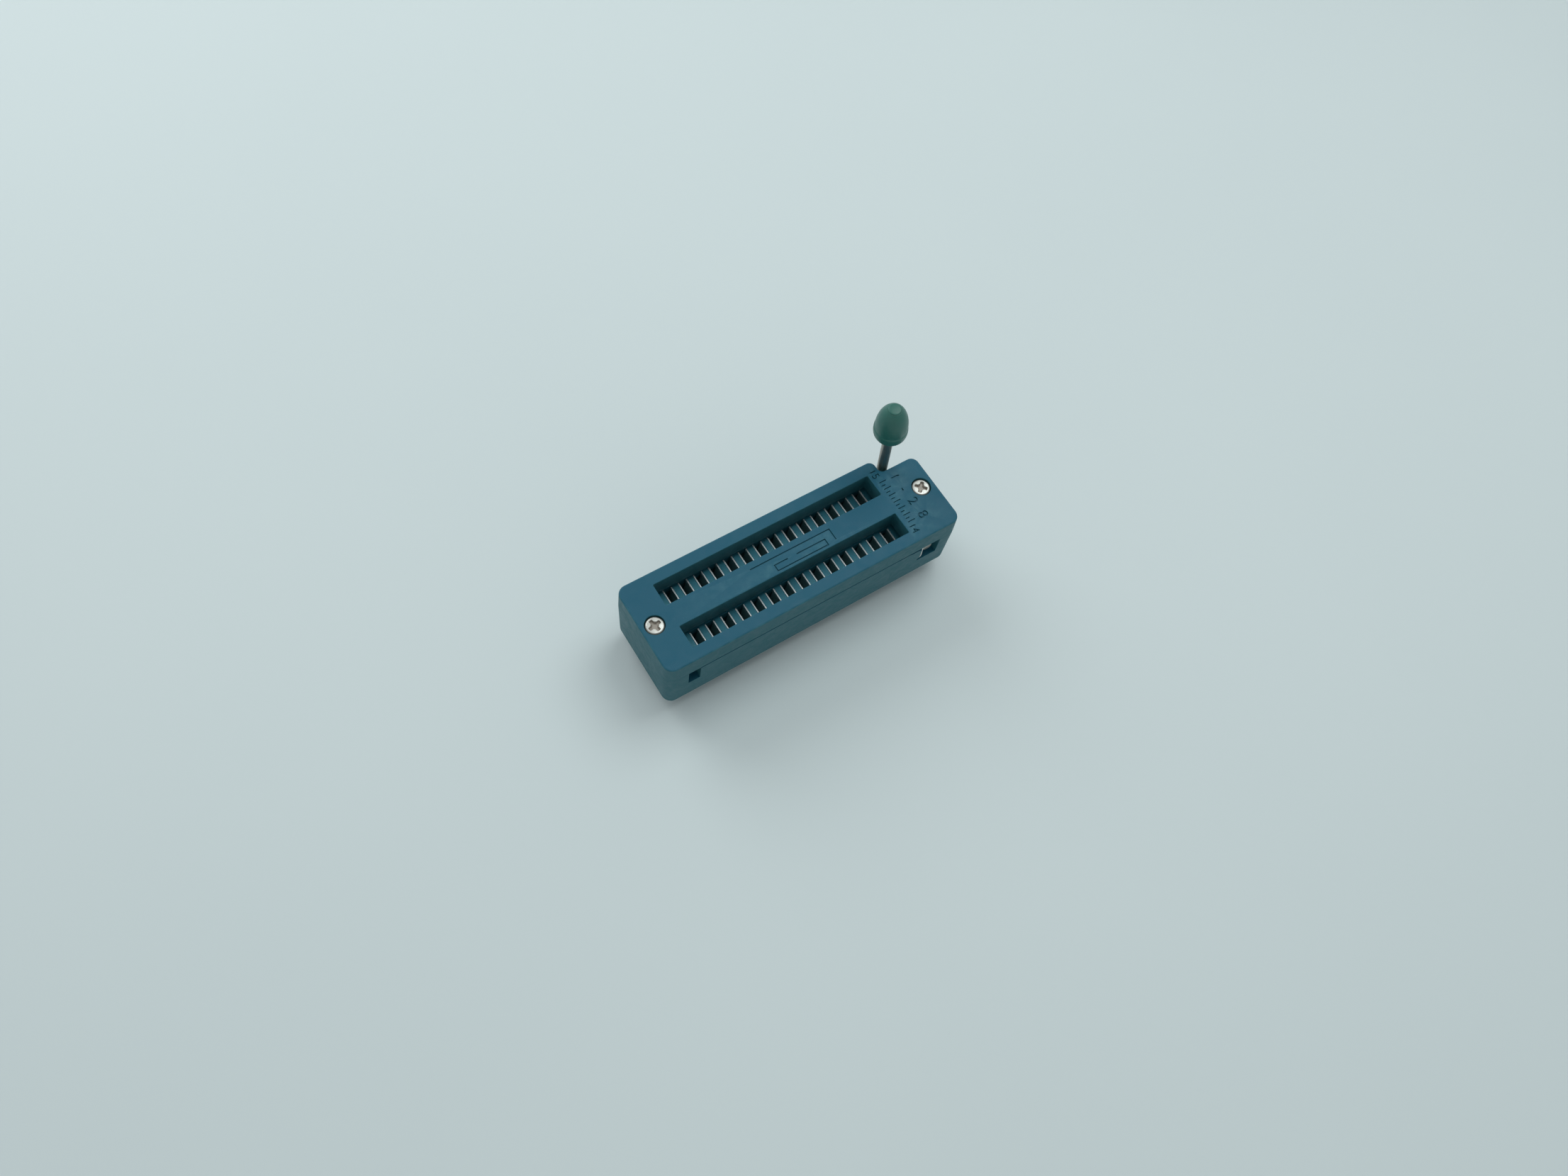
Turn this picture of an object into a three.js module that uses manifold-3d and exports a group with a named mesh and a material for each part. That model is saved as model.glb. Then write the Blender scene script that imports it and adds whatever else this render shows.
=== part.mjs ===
// A lever-operated zero-insertion-force (ZIF) socket for 28-pin dual in-line chips.
//
// Frame, in millimetres: the origin is the middle of the base's underside, which seats on a board.
// +X runs along the body towards the lever's end, +Y towards the lever's side, and +Z is up.
// The contact tails reach below z = 0. The lever stands up, which leaves the contacts open.
import * as THREE from "three";
import { mergeVertices } from "three/addons/utils/BufferGeometryUtils.js";
import Module from "manifold-3d";

const wasm = await Module();
wasm.setup();

// ---- driving dimensions ----
const PITCH = 2.54; // standard pin pitch, along a row
const PINS_PER_ROW = 14;
const ROW_Y = 3.81; // half of the 7.62 between the rows
const CONTACTS_X = -0.755; // middle of the rows: off centre, which leaves room for the cam
const GAP = 0.05; // running clearance between pieces that fit together

const BODY = { length: 50, width: 15, split: 7.7, top: 11.1, cornerR: 1.6 };
const RELIEF = { x: 18.85, y: 5.1, outerR: 1.1, innerR: 0.7, endR: 1.3 }; // corner step beside the lever
const WINDOW = { x0: -19.9, x1: 16.7, y0: 1.83, y1: 5.47 }; // one over each row of contacts
const SCREW = { x: 22.75, headR: 1.38, shankR: 0.75, headTop: 11, tip: 2.6 };
const COUNTERBORE = { radius: 1.5, floor: 10 };

const SHAFT = { x: 20.4, z: 5.5, radius: 0.8, frontEnd: -6.9 };
const ARM = { y: 6.2, bendR: 1.1, top: 18.5, lean: 4 }; // top is measured from the shaft's axis
const CAM = { low: 0.2, rise: 0.319, swing: 95, halfWidth: 3.1 }; // rise is in mm for each radian turned
const KNOB = { bottom: 13.6, radius: 2.52, dome: { radius: 2.4, foot: 16.4, height: 4.5, turn: 63.5 }, top: 20.7 };

const SLIDER = { bottom: 4.95, top: 6.25, x0: -20.2, x1: 17.7, halfWidth: 6.4, tongueHalf: 2.8 };
const OPENING = { halfX: 0.8, y0: 1.5, y1: 6.1 }; // one in the slider around each contact
const CAVITY = { floor: 4.85, x0: -20.9, x1: 18.15, halfWidth: 6.55 }; // the slider's room in the base
const POCKET = { halfX: 0.86, y0: 1.45, y1: 6.15, floor: 0.9 };
const LEAF = { thickness: 0.2, y0: 1.6, y1: 6, top: 6.3 };
const TAIL = { width: 0.5, thickness: 0.3, tip: -3.3, taper: 0.35 };

const CAM_ROOM = { x0: 17.9, x1: 21.4, y0: -4.4, y1: 3.5, floor: 4.3 };
const BEARING = { frontY: -6, radius: SHAFT.radius + 0.07 }; // open-topped grooves on both sides of the cam
const HOLD_DOWN = { halfX: 0.7, inset: 0.15, bottom: SHAFT.z + SHAFT.radius + 0.12 };
const SIDE_WINDOW = { x0: 18.7, x1: 21.8, floor: 3.9, depth: 1.5 };
const END_WINDOW = { x0: -21.5, x1: -19.6, floor: 4.2, depth: 1.6 };
const CLIP = { thickness: 0.2, x0: 16.5, y0: -7.3, y1: -6.05, top: 7.65 };
const RING_GROOVE = { radius: 0.4, y0: -6.6, y1: -6.3 }; // near the shaft's front end
const DRAUGHT = 0.2; // how far the long walls stop short of the cover
const WASH = { x0: -19.6, x1: 18.1, halfWidth: 1.5, depth: 0.4 }; // grooves under the rows

const radians = (degrees) => (degrees * Math.PI) / 180;
const contactX = (i) => CONTACTS_X + (i - (PINS_PER_ROW - 1) / 2) * PITCH;
const PLACES = Array.from({ length: PINS_PER_ROW }, (_, i) => i);
const SIDES = [-1, 1]; // the front row is at -Y, the back row at +Y

// ---- solids and meshes ----
const solidOf = (geometry) => {
  const bare = geometry.clone();
  bare.deleteAttribute("normal");
  bare.deleteAttribute("uv");
  const merged = mergeVertices(bare, 1e-4);
  const corners = Array.from(merged.index.array);
  // a turned profile leaves flat triangles on its axis, which are dropped
  const triVerts = [];
  for (let i = 0; i < corners.length; i += 3) {
    const [a, b, c] = corners.slice(i, i + 3);
    if (a !== b && b !== c && c !== a) triVerts.push(a, b, c);
  }
  return new wasm.Manifold(
    new wasm.Mesh({
      numProp: 3,
      vertProperties: merged.attributes.position.array,
      triVerts: new Uint32Array(triVerts),
    }),
  );
};

const geometryOf = (solid) => {
  const mesh = solid.getMesh();
  const geometry = new THREE.BufferGeometry();
  geometry.setAttribute("position", new THREE.BufferAttribute(mesh.vertProperties, 3));
  geometry.setIndex(new THREE.BufferAttribute(mesh.triVerts, 1));
  return geometry;
};

const joined = (solids) => solids.reduce((whole, next) => whole.add(next));

// A box from its low corner to its high corner.
const box = (x0, x1, y0, y1, z0, z1) => {
  const geometry = new THREE.BoxGeometry(x1 - x0, y1 - y0, z1 - z0);
  geometry.translate((x0 + x1) / 2, (y0 + y1) / 2, (z0 + z1) / 2);
  return solidOf(geometry);
};

// The same box on the front side or on the back side, with y0 and y1 counted outwards.
const sideBox = (side, x0, x1, y0, y1, z0, z1) =>
  side > 0 ? box(x0, x1, y0, y1, z0, z1) : box(x0, x1, -y1, -y0, z0, z1);

const uprightRod = (x, y, radius, z0, z1, sides) => {
  const geometry = new THREE.CylinderGeometry(radius, radius, z1 - z0, sides);
  geometry.rotateX(Math.PI / 2);
  geometry.translate(x, y, (z0 + z1) / 2);
  return solidOf(geometry);
};

const crossRod = (x, z, radius, y0, y1, sides = 24) => {
  const geometry = new THREE.CylinderGeometry(radius, radius, y1 - y0, sides);
  geometry.translate(x, (y0 + y1) / 2, z);
  return solidOf(geometry);
};

// A profile of radius and height, turned about the Z axis. Its outer side runs upwards.
const turned = (profile, sides) => {
  const geometry = new THREE.LatheGeometry(profile.map(([r, z]) => new THREE.Vector2(r, z)), sides);
  geometry.rotateX(Math.PI / 2);
  return geometry;
};

// An outline in X and Y, made thick from z0 to z1.
const plate = (outline, z0, z1) => {
  const geometry = new THREE.ExtrudeGeometry(outline, { depth: z1 - z0, bevelEnabled: false, curveSegments: 6 });
  geometry.translate(0, 0, z0);
  return solidOf(geometry);
};

// An outline in X and Z, made thick from y0 to y1.
const slab = (outline, y0, y1) => {
  const geometry = new THREE.ExtrudeGeometry(outline, { depth: y1 - y0, bevelEnabled: false });
  geometry.rotateX(Math.PI / 2);
  geometry.translate(0, y1, 0);
  return solidOf(geometry);
};

const shapeOf = (points) => new THREE.Shape(points.map(([x, y]) => new THREE.Vector2(x, y)));

// The outline of a strip of even thickness that is folded along a line of points, with mitred folds.
const foldedStrip = (points, thickness) => {
  const line = points.map(([x, z]) => new THREE.Vector2(x, z));
  const normals = line.slice(1).map((p, i) => {
    const along = p.clone().sub(line[i]).normalize();
    return new THREE.Vector2(-along.y, along.x);
  });
  const offsets = line.map((_, i) => {
    const before = normals[Math.max(i - 1, 0)];
    const after = normals[Math.min(i, normals.length - 1)];
    const mitre = before.clone().add(after).normalize();
    return mitre.multiplyScalar(thickness / 2 / mitre.dot(before));
  });
  const left = line.map((p, i) => p.clone().add(offsets[i]));
  const right = line.map((p, i) => p.clone().sub(offsets[i]));
  return new THREE.Shape([...left, ...right.reverse()]);
};

// ---- the outline that the base and the cover share ----
const bodyOutline = () => {
  const x = BODY.length / 2;
  const y = BODY.width / 2;
  const r = BODY.cornerR;
  const { outerR, innerR, endR } = RELIEF;
  const quarter = Math.PI / 2;
  const outline = new THREE.Shape();
  outline.absarc(x - r, -y + r, r, -quarter, 0, false);
  outline.absarc(x - endR, RELIEF.y - endR, endR, 0, quarter, false);
  outline.absarc(RELIEF.x + innerR, RELIEF.y + innerR, innerR, -quarter, -2 * quarter, true);
  outline.absarc(RELIEF.x - outerR, y - outerR, outerR, 0, quarter, false);
  outline.absarc(-x + r, y - r, r, quarter, 2 * quarter, false);
  outline.absarc(-x + r, -y + r, r, 2 * quarter, 3 * quarter, false);
  return outline;
};

// ---- base: the moulded housing that holds the contacts, the slider and the shaft ----
// A pocket for each contact, and a slot for its tail through the floor.
const contactCuts = () =>
  SIDES.flatMap((side) =>
    PLACES.flatMap((i) => {
      const x = contactX(i);
      const halfX = TAIL.width / 2 + GAP;
      const halfY = TAIL.thickness / 2 + GAP;
      return [
        sideBox(side, x - POCKET.halfX, x + POCKET.halfX, POCKET.y0, POCKET.y1, POCKET.floor, CAVITY.floor + 1),
        sideBox(side, x - halfX, x + halfX, ROW_Y - halfY, ROW_Y + halfY, -1, POCKET.floor + 1),
      ];
    }),
  );

const washGrooves = () =>
  SIDES.map((side) =>
    sideBox(side, WASH.x0, WASH.x1, ROW_Y - WASH.halfWidth, ROW_Y + WASH.halfWidth, -1, WASH.depth),
  );

// The cam's room, with a groove on each side of it that carries the shaft.
const shaftCuts = () => {
  const up = BODY.split + 1;
  const front = BEARING.frontY - GAP;
  const { x, z } = SHAFT;
  return [
    box(CAM_ROOM.x0, CAM_ROOM.x1, CAM_ROOM.y0, CAM_ROOM.y1, CAM_ROOM.floor, up),
    box(x - BEARING.radius, x + BEARING.radius, front, BODY.width, z, up),
    crossRod(x, z, BEARING.radius, front, BODY.width),
  ];
};

// The windows in the long walls, the clip's seat, and the thin gap that the walls leave under the cover.
const wallCuts = () => {
  const y = BODY.width / 2;
  const up = BODY.split + 1;
  const window = (side, w) => sideBox(side, w.x0, w.x1, y - w.depth, y + 1, w.floor, up);
  const seat = CLIP.top - CLIP.thickness - GAP;
  const x = SIDE_WINDOW.x0;
  const wedge = shapeOf([[x - 1.1, seat + 0.1], [x + 0.1, seat - 0.5], [x + 0.1, seat + 0.1]]);
  const footNotch = { width: 0.35, top: SIDE_WINDOW.floor + 0.55 };
  return [
    window(-1, SIDE_WINDOW),
    window(-1, END_WINDOW),
    window(1, END_WINDOW),
    box(CLIP.x0 - GAP, x + 0.1, -y - 1, CLIP.y1 + GAP, seat, up),
    slab(wedge, -y - 1, CLIP.y1 + GAP),
    box(x - footNotch.width, x + 0.1, -y - 1, -y + SIDE_WINDOW.depth, SIDE_WINDOW.floor, footNotch.top),
    box(END_WINDOW.x1 - 0.1, CLIP.x0, -y - 1, -CAVITY.halfWidth + 0.1, BODY.split - DRAUGHT, up),
    box(END_WINDOW.x1 - 0.1, RELIEF.x - 2, CAVITY.halfWidth - 0.1, y + 1, BODY.split - DRAUGHT, up),
  ];
};

const makeBase = () => {
  const { x0, x1, halfWidth, floor } = CAVITY;
  const slidersRoom = box(x0, x1, -halfWidth, halfWidth, floor, BODY.split + 1);
  const pilots = SIDES.map((end) =>
    uprightRod(end * SCREW.x, 0, SCREW.shankR + GAP, SCREW.tip - 0.4, BODY.split + 1, 20),
  );
  const cuts = [slidersRoom, ...contactCuts(), ...washGrooves(), ...shaftCuts(), ...wallCuts(), ...pilots];
  return geometryOf(plate(bodyOutline(), 0, BODY.split).subtract(joined(cuts)));
};

// ---- cover: the moulded top plate, screwed down over the slider and the shaft ----
const makeCover = () => {
  const windows = SIDES.map((side) =>
    sideBox(side, WINDOW.x0, WINDOW.x1, WINDOW.y0, WINDOW.y1, BODY.split - 1, BODY.top + 1),
  );
  const holes = SIDES.flatMap((end) => [
    uprightRod(end * SCREW.x, 0, SCREW.shankR + 0.15, BODY.split - 1, BODY.top, 20),
    uprightRod(end * SCREW.x, 0, COUNTERBORE.radius, COUNTERBORE.floor, BODY.top + 1, 36),
  ]);
  // two ribs that keep the shaft down in its open-topped grooves
  const { halfX, inset, bottom } = HOLD_DOWN;
  const spans = [[BEARING.frontY, CAM_ROOM.y0], [CAM_ROOM.y1, RELIEF.y]];
  const ribs = spans.map(([y0, y1]) =>
    box(SHAFT.x - halfX, SHAFT.x + halfX, y0 + inset, y1 - inset, bottom, BODY.split + 1),
  );
  const cover = plate(bodyOutline(), BODY.split, BODY.top).subtract(joined([...windows, ...holes]));
  return geometryOf(cover.add(joined(ribs)));
};

// ---- slider: the comb whose bars push one leaf of every contact ----
const makeSlider = () => {
  const { bottom, top, x0, x1, halfWidth, tongueHalf } = SLIDER;
  const follower = SHAFT.x - CAM.low - GAP; // the face that the cam pushes
  const openings = SIDES.flatMap((side) =>
    PLACES.map((i) => {
      const x = contactX(i);
      return sideBox(side, x - OPENING.halfX, x + OPENING.halfX, OPENING.y0, OPENING.y1, bottom - 1, top + 1);
    }),
  );
  const comb = box(x0, x1, -halfWidth, halfWidth, bottom, top);
  const tongue = box(x1 - 1, follower, -tongueHalf, tongueHalf, bottom, top);
  return geometryOf(comb.add(tongue).subtract(joined(openings)));
};

// ---- contact: a strip bent into two upright leaves, with a tail for the board's hole ----
// The leaves stand apart at the top, to take a chip's leg, and come together lower down, to grip it.
const makeContact = () => {
  const bottom = POCKET.floor + GAP + LEAF.thickness / 2;
  const leaf = [[0.67, LEAF.top], [0.66, 5], [0.44, 3.4], [0.44, 3.1], [0.6, 2], [0.42, bottom + 0.12]];
  const mirrored = leaf.map(([x, z]) => [-x, z]).reverse();
  const strip = foldedStrip([...leaf, [0, bottom], ...mirrored], LEAF.thickness);
  const half = TAIL.width / 2;
  const shoulder = TAIL.tip + TAIL.taper;
  const tail = shapeOf([
    [-half, bottom], [-half, shoulder], [-half / 2, TAIL.tip],
    [half / 2, TAIL.tip], [half, shoulder], [half, bottom],
  ]);
  const tailSolid = slab(tail, ROW_Y - TAIL.thickness / 2, ROW_Y + TAIL.thickness / 2);
  return slab(strip, LEAF.y0, LEAF.y1).add(tailSolid);
};

// ---- lever: one steel wire, bent up beside the body, with a cam coined into its shaft ----
// The distance from the shaft's axis to the slider's flat face grows evenly with the angle turned,
// so the cam's edge is the curve that those flats touch, an involute.
const camOutline = () => {
  const steps = 12;
  const lean = radians(ARM.lean);
  const edge = Array.from({ length: steps + 1 }, (_, i) => {
    const angle = (radians(CAM.swing) * i) / steps;
    const facing = Math.PI + angle - lean;
    const reach = CAM.low + CAM.rise * angle;
    return [
      reach * Math.cos(facing) - CAM.rise * Math.sin(facing),
      reach * Math.sin(facing) + CAM.rise * Math.cos(facing),
    ];
  });
  // the rest of the section stays round, up to where the first flat meets it
  const round = SHAFT.radius - 0.01;
  const last = edge[steps];
  const from = Math.atan2(last[1], last[0]);
  const to = Math.acos(-CAM.low / round) - lean;
  const back = Array.from({ length: steps + 1 }, (_, i) => {
    const angle = from + ((to - from) * (i + 1)) / (steps + 1);
    return [round * Math.cos(angle), round * Math.sin(angle)];
  });
  return shapeOf([...edge, ...back]);
};

// The bend's ring, a torus about an axis along X through the point (0, y, z).
const ringSolid = (y, z, bendR, wireR) => {
  const sides = 24;
  const section = Array.from({ length: sides + 1 }, (_, i) => {
    const angle = (2 * Math.PI * i) / sides;
    return [bendR + wireR * Math.cos(angle), wireR * Math.sin(angle)];
  });
  const geometry = turned(section, 32);
  geometry.rotateY(Math.PI / 2);
  geometry.translate(0, y, z);
  return solidOf(geometry);
};

const makeLever = () => {
  const { radius, frontEnd } = SHAFT;
  const bendY = ARM.y - ARM.bendR;
  const lap = 0.02; // the straight stretches run this far into the bend
  const shaft = crossRod(0, 0, radius, frontEnd, bendY + lap);
  const coined = box(-radius * 2, radius * 2, -CAM.halfWidth, CAM.halfWidth, -radius * 2, radius * 2);
  const cam = slab(camOutline(), -CAM.halfWidth - 0.1, CAM.halfWidth + 0.1);
  const { y0, y1 } = RING_GROOVE;
  const ringGroove = crossRod(0, 0, radius * 2, y0, y1).subtract(
    crossRod(0, 0, RING_GROOVE.radius, y0 - 1, y1 + 1, 16),
  );
  const bend = ringSolid(bendY, ARM.bendR, ARM.bendR, radius).intersect(
    box(-radius * 2, radius * 2, bendY, ARM.y + radius * 2, -radius * 2, ARM.bendR),
  );
  const arm = uprightRod(0, ARM.y, radius, ARM.bendR - lap, ARM.top, 24);
  return geometryOf(joined([shaft.subtract(coined).subtract(ringGroove), cam, bend, arm]));
};

// ---- knob: a turned cap with a blind bore, pushed over the arm ----
// Above a short skirt its outer side is a tall dome, which a small flat button closes.
const makeKnob = () => {
  const { bottom, top, radius, dome } = KNOB;
  const bore = SHAFT.radius + GAP;
  const boreTop = ARM.top + 0.2;
  const steps = 8;
  const domeSide = Array.from({ length: steps + 1 }, (_, i) => {
    const angle = (radians(dome.turn) * i) / steps;
    return [dome.radius * Math.cos(angle), dome.foot + dome.height * Math.sin(angle)];
  });
  const geometry = turned(
    [
      [0, boreTop], [bore, boreTop], [bore, bottom], [1.2, bottom], [1.85, bottom + 0.25],
      [2.28, bottom + 0.75], [radius, bottom + 1.45], [radius, dome.foot - 0.4], ...domeSide,
      [0.98, top - 0.15], [0.85, top], [0, top],
    ],
    32,
  );
  geometry.translate(0, ARM.y, 0);
  return geometryOf(solidOf(geometry));
};

// ---- screw: a cross-recessed cheese head on a plain shank, which stands in for the thread ----
const makeScrew = () => {
  const { headR, shankR, headTop, tip } = SCREW;
  const seat = COUNTERBORE.floor + GAP;
  const chamfer = 0.15;
  const cross = { long: 1.02, half: 0.3, depth: 0.6 };
  const body = turned(
    [
      [0, tip], [shankR / 2, tip], [shankR, tip + 0.8], [shankR, seat], [headR, seat],
      [headR, headTop - chamfer], [headR - chamfer, headTop], [0, headTop],
    ],
    28,
  );
  const recess = [
    box(-cross.long, cross.long, -cross.half, cross.half, headTop - cross.depth, headTop + 1),
    box(-cross.half, cross.half, -cross.long, cross.long, headTop - cross.depth, headTop + 1),
    uprightRod(0, 0, 0.7, headTop - cross.depth + 0.1, headTop + 1, 8),
  ];
  return geometryOf(solidOf(body).subtract(joined(recess)));
};

// ---- clip: a bent strip held under the cover, with a tab in the shaft's ring groove ----
const makeClip = () => {
  const z = CLIP.top - CLIP.thickness / 2;
  const x = SIDE_WINDOW.x0;
  const strip = foldedStrip(
    [[CLIP.x0, z], [x, z], [x + 0.16, z - 0.15], [x + 0.38, 4.55], [x + 0.25, 4.2], [x - 0.2, 4.1]],
    CLIP.thickness,
  );
  const middle = (RING_GROOVE.y0 + RING_GROOVE.y1) / 2;
  const reach = SHAFT.x - RING_GROOVE.radius - GAP;
  const tab = box(x + 0.3, reach, middle - 0.08, middle + 0.08, SHAFT.z - 0.4, SHAFT.z + 0.4);
  return geometryOf(slab(strip, CLIP.y0, CLIP.y1).add(tab));
};

// ---- the assembly ----
const finish = (color, roughness, metalness) => new THREE.MeshStandardMaterial({ color, roughness, metalness });
const MATERIALS = {
  housing: finish(0x325c6e, 0.5, 0),
  comb: finish(0x355963, 0.55, 0),
  knob: finish(0x3c675f, 0.45, 0),
  steel: finish(0x3a4445, 0.35, 0.9),
  nickel: finish(0xc8c8c2, 0.3, 1),
  tin: finish(0xd6d8d6, 0.25, 1),
};

const socket = new THREE.Group();
const addNode = (name, geometry, material, parent = socket) => {
  geometry.computeVertexNormals();
  const mesh = new THREE.Mesh(geometry, material);
  mesh.name = name;
  parent.add(mesh);
  return mesh;
};

addNode("base", makeBase(), MATERIALS.housing);
addNode("cover", makeCover(), MATERIALS.housing);
addNode("slider", makeSlider(), MATERIALS.comb);
addNode("retainer_clip", makeClip(), MATERIALS.nickel);

const leverGroup = new THREE.Group();
leverGroup.position.set(SHAFT.x, 0, SHAFT.z);
leverGroup.rotation.y = -radians(ARM.lean);
socket.add(leverGroup);
addNode("lever", makeLever(), MATERIALS.steel, leverGroup);
addNode("knob", makeKnob(), MATERIALS.knob, leverGroup);

for (const [name, end] of [["screw_left", -1], ["screw_right", 1]]) {
  addNode(name, makeScrew(), MATERIALS.nickel).position.x = end * SCREW.x;
}

const contact = makeContact();
for (const [row, turn] of [["front", Math.PI], ["back", 0]]) {
  for (const i of PLACES) {
    const name = `contact_${row}_${String(i + 1).padStart(2, "0")}`;
    const mesh = addNode(name, geometryOf(contact), MATERIALS.tin);
    mesh.position.x = contactX(i);
    mesh.rotation.z = turn;
  }
}

export default socket;
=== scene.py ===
import math

import bmesh
import bpy
import numpy as np
from mathutils import Euler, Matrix
from mathutils.geometry import delaunay_2d_cdt


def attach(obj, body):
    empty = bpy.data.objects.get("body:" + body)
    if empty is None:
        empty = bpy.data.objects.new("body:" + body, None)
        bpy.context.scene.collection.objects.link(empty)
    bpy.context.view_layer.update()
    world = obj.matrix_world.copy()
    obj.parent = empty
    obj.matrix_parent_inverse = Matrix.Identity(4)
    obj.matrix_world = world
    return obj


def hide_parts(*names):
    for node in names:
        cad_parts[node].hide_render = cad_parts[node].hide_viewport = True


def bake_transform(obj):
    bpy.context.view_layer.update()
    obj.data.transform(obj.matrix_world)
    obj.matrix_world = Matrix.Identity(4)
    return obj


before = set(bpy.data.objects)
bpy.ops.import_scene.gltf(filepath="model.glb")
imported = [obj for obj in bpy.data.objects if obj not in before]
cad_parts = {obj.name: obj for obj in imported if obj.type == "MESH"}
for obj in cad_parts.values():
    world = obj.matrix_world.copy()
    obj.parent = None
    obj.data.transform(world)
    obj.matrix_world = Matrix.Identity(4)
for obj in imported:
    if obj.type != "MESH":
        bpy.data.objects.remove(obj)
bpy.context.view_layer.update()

mm = 0.001  # every size below is in millimetres until it goes into a mesh
shadeFlat = 0.02  # the narrow flat beside a rounded edge, which keeps the shading clean
scene = bpy.context.scene
scene.view_settings.view_transform = "Standard"
print("socket: packed model loaded")

# ---- camera ----
view = {
    "place": (-60.32, -62.46, 170.84),
    "turn": (26.322, -5.742, -32.447),
    "lens": 29.143,
}
cameraData = bpy.data.cameras.new("camera")
cameraData.lens = view["lens"]
cameraData.sensor_width = 36
cameraData.clip_start = 0.005
camera = bpy.data.objects.new("camera", cameraData)
camera.location = [value * mm for value in view["place"]]
camera.rotation_euler = Euler([math.radians(value) for value in view["turn"]], "XYZ")
scene.collection.objects.link(camera)
scene.camera = camera


# ---- outlines: closed loops of points in a plane, counter-clockwise ----
def mitredNormals(loop):
    # the outward direction at each point, lengthened so that both edges there move out by the same amount
    edges = np.roll(loop, -1, 0) - loop
    outward = np.stack([edges[:, 1], -edges[:, 0]], 1)
    outward /= np.linalg.norm(outward, axis=1, keepdims=True)
    middle = outward + np.roll(outward, 1, 0)
    middle /= np.linalg.norm(middle, axis=1, keepdims=True)
    return middle / np.sum(middle * outward, 1, keepdims=True)


def movedOut(loop, distance):
    return loop + mitredNormals(loop) * distance


def roundedLoop(corners, steps=5):
    # a polygon of (x, y, radius) corners: each corner becomes an arc that touches both its edges
    corners = np.array(corners, float)
    points = []
    for before, corner, after in zip(np.roll(corners, 1, 0), corners, np.roll(corners, -1, 0)):
        here, radius = corner[:2], corner[2]
        if radius == 0:
            points.append(here[None])
            continue
        back = (before[:2] - here) / np.linalg.norm(before[:2] - here)
        ahead = (after[:2] - here) / np.linalg.norm(after[:2] - here)
        half = math.acos(np.clip(back @ ahead, -1, 1)) / 2
        inward = (back + ahead) / np.linalg.norm(back + ahead)
        centre = here + inward * radius / math.sin(half)
        reach = radius / math.tan(half)
        start, end = here + back * reach - centre, here + ahead * reach - centre
        first = math.atan2(start[1], start[0])
        swing = (math.atan2(end[1], end[0]) - first + math.pi) % (2 * math.pi) - math.pi
        turn = first + swing * np.linspace(0, 1, steps + 1)
        points.append(centre + radius * np.stack([np.cos(turn), np.sin(turn)], 1))
    return np.concatenate(points)


def boxLoop(x0, x1, y0, y1, radius, steps=3):
    return roundedLoop([(x1, y0, radius), (x1, y1, radius), (x0, y1, radius), (x0, y0, radius)], steps)


def circleLoop(x, y, radius, sides):
    turn = np.arange(sides) * 2 * math.pi / sides
    return np.stack([x + radius * np.cos(turn), y + radius * np.sin(turn)], 1)


def smoothLine(points, steps):
    # Catmull-Rom: between two points, the cubic whose slope at each end is half the step between its neighbours
    p = np.array(points, float)
    ends = np.vstack([2 * p[0] - p[1], p, 2 * p[-1] - p[-2]])
    a, b, c, d = (q[:, None, :] for q in (ends[:-3], ends[1:-2], ends[2:-1], ends[3:]))
    t = (np.arange(steps) / steps)[None, :, None]
    curve = b + t / 2 * (c - a) + t**2 * (a - 2.5 * b + 2 * c - d / 2) + t**3 * (1.5 * (b - c) + (d - a) / 2)
    return np.vstack([curve.reshape(-1, p.shape[1]), p[-1:]])


def stripLoop(line, thickness, bulge, steps=4):
    # outline of a strip of even thickness along an open line, with a half ellipse of height bulge at each end
    line = np.array(line, float)
    step = np.diff(line, axis=0)
    step /= np.linalg.norm(step, axis=1, keepdims=True)
    left = np.stack([-step[:, 1], step[:, 0]], 1)
    before, after = np.vstack([left[:1], left]), np.vstack([left, left[-1:]])
    mitre = before + after
    mitre /= np.linalg.norm(mitre, axis=1, keepdims=True)
    mitre *= thickness / 2 / np.sum(mitre * after, 1, keepdims=True)
    turn = np.linspace(0, math.pi, steps + 1)[1:-1, None]
    endCap = line[-1] - np.cos(turn) * mitre[-1] + np.sin(turn) * step[-1] * bulge
    startCap = line[0] + np.cos(turn) * mitre[0] - np.sin(turn) * step[0] * bulge
    return np.vstack([line - mitre, endCap, (line + mitre)[::-1], startCap])


# ---- patches: (points, faces, wear), where wear is 1 along a rounded edge and 0 on flats; it pales the edge, partly as rubbing and partly as a painted highlight ----
def roundedEdge(height, radius, up, out, steps=5, flat=shadeFlat):
    # rows of (offset, height, wear and highlight): a quarter circle from a wall to the flat above (up 1) or below (up
    # -1) it, with a narrow flat on each side; out is 1 for an outer wall and -1 for a hole's wall
    turn = np.linspace(0, math.pi / 2, steps + 1)
    offset = out * radius * (np.cos(turn) - 1)
    level = height + up * radius * (np.sin(turn) - 1)
    # the third column pales the rounded edge: partly rubbing, partly a painted highlight
    arc = np.stack([offset, level, np.sin(2 * turn)], 1)
    return np.vstack([[0, level[0] - up * flat, 0], arc, [offset[-1] - out * flat, height, 0]])


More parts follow.
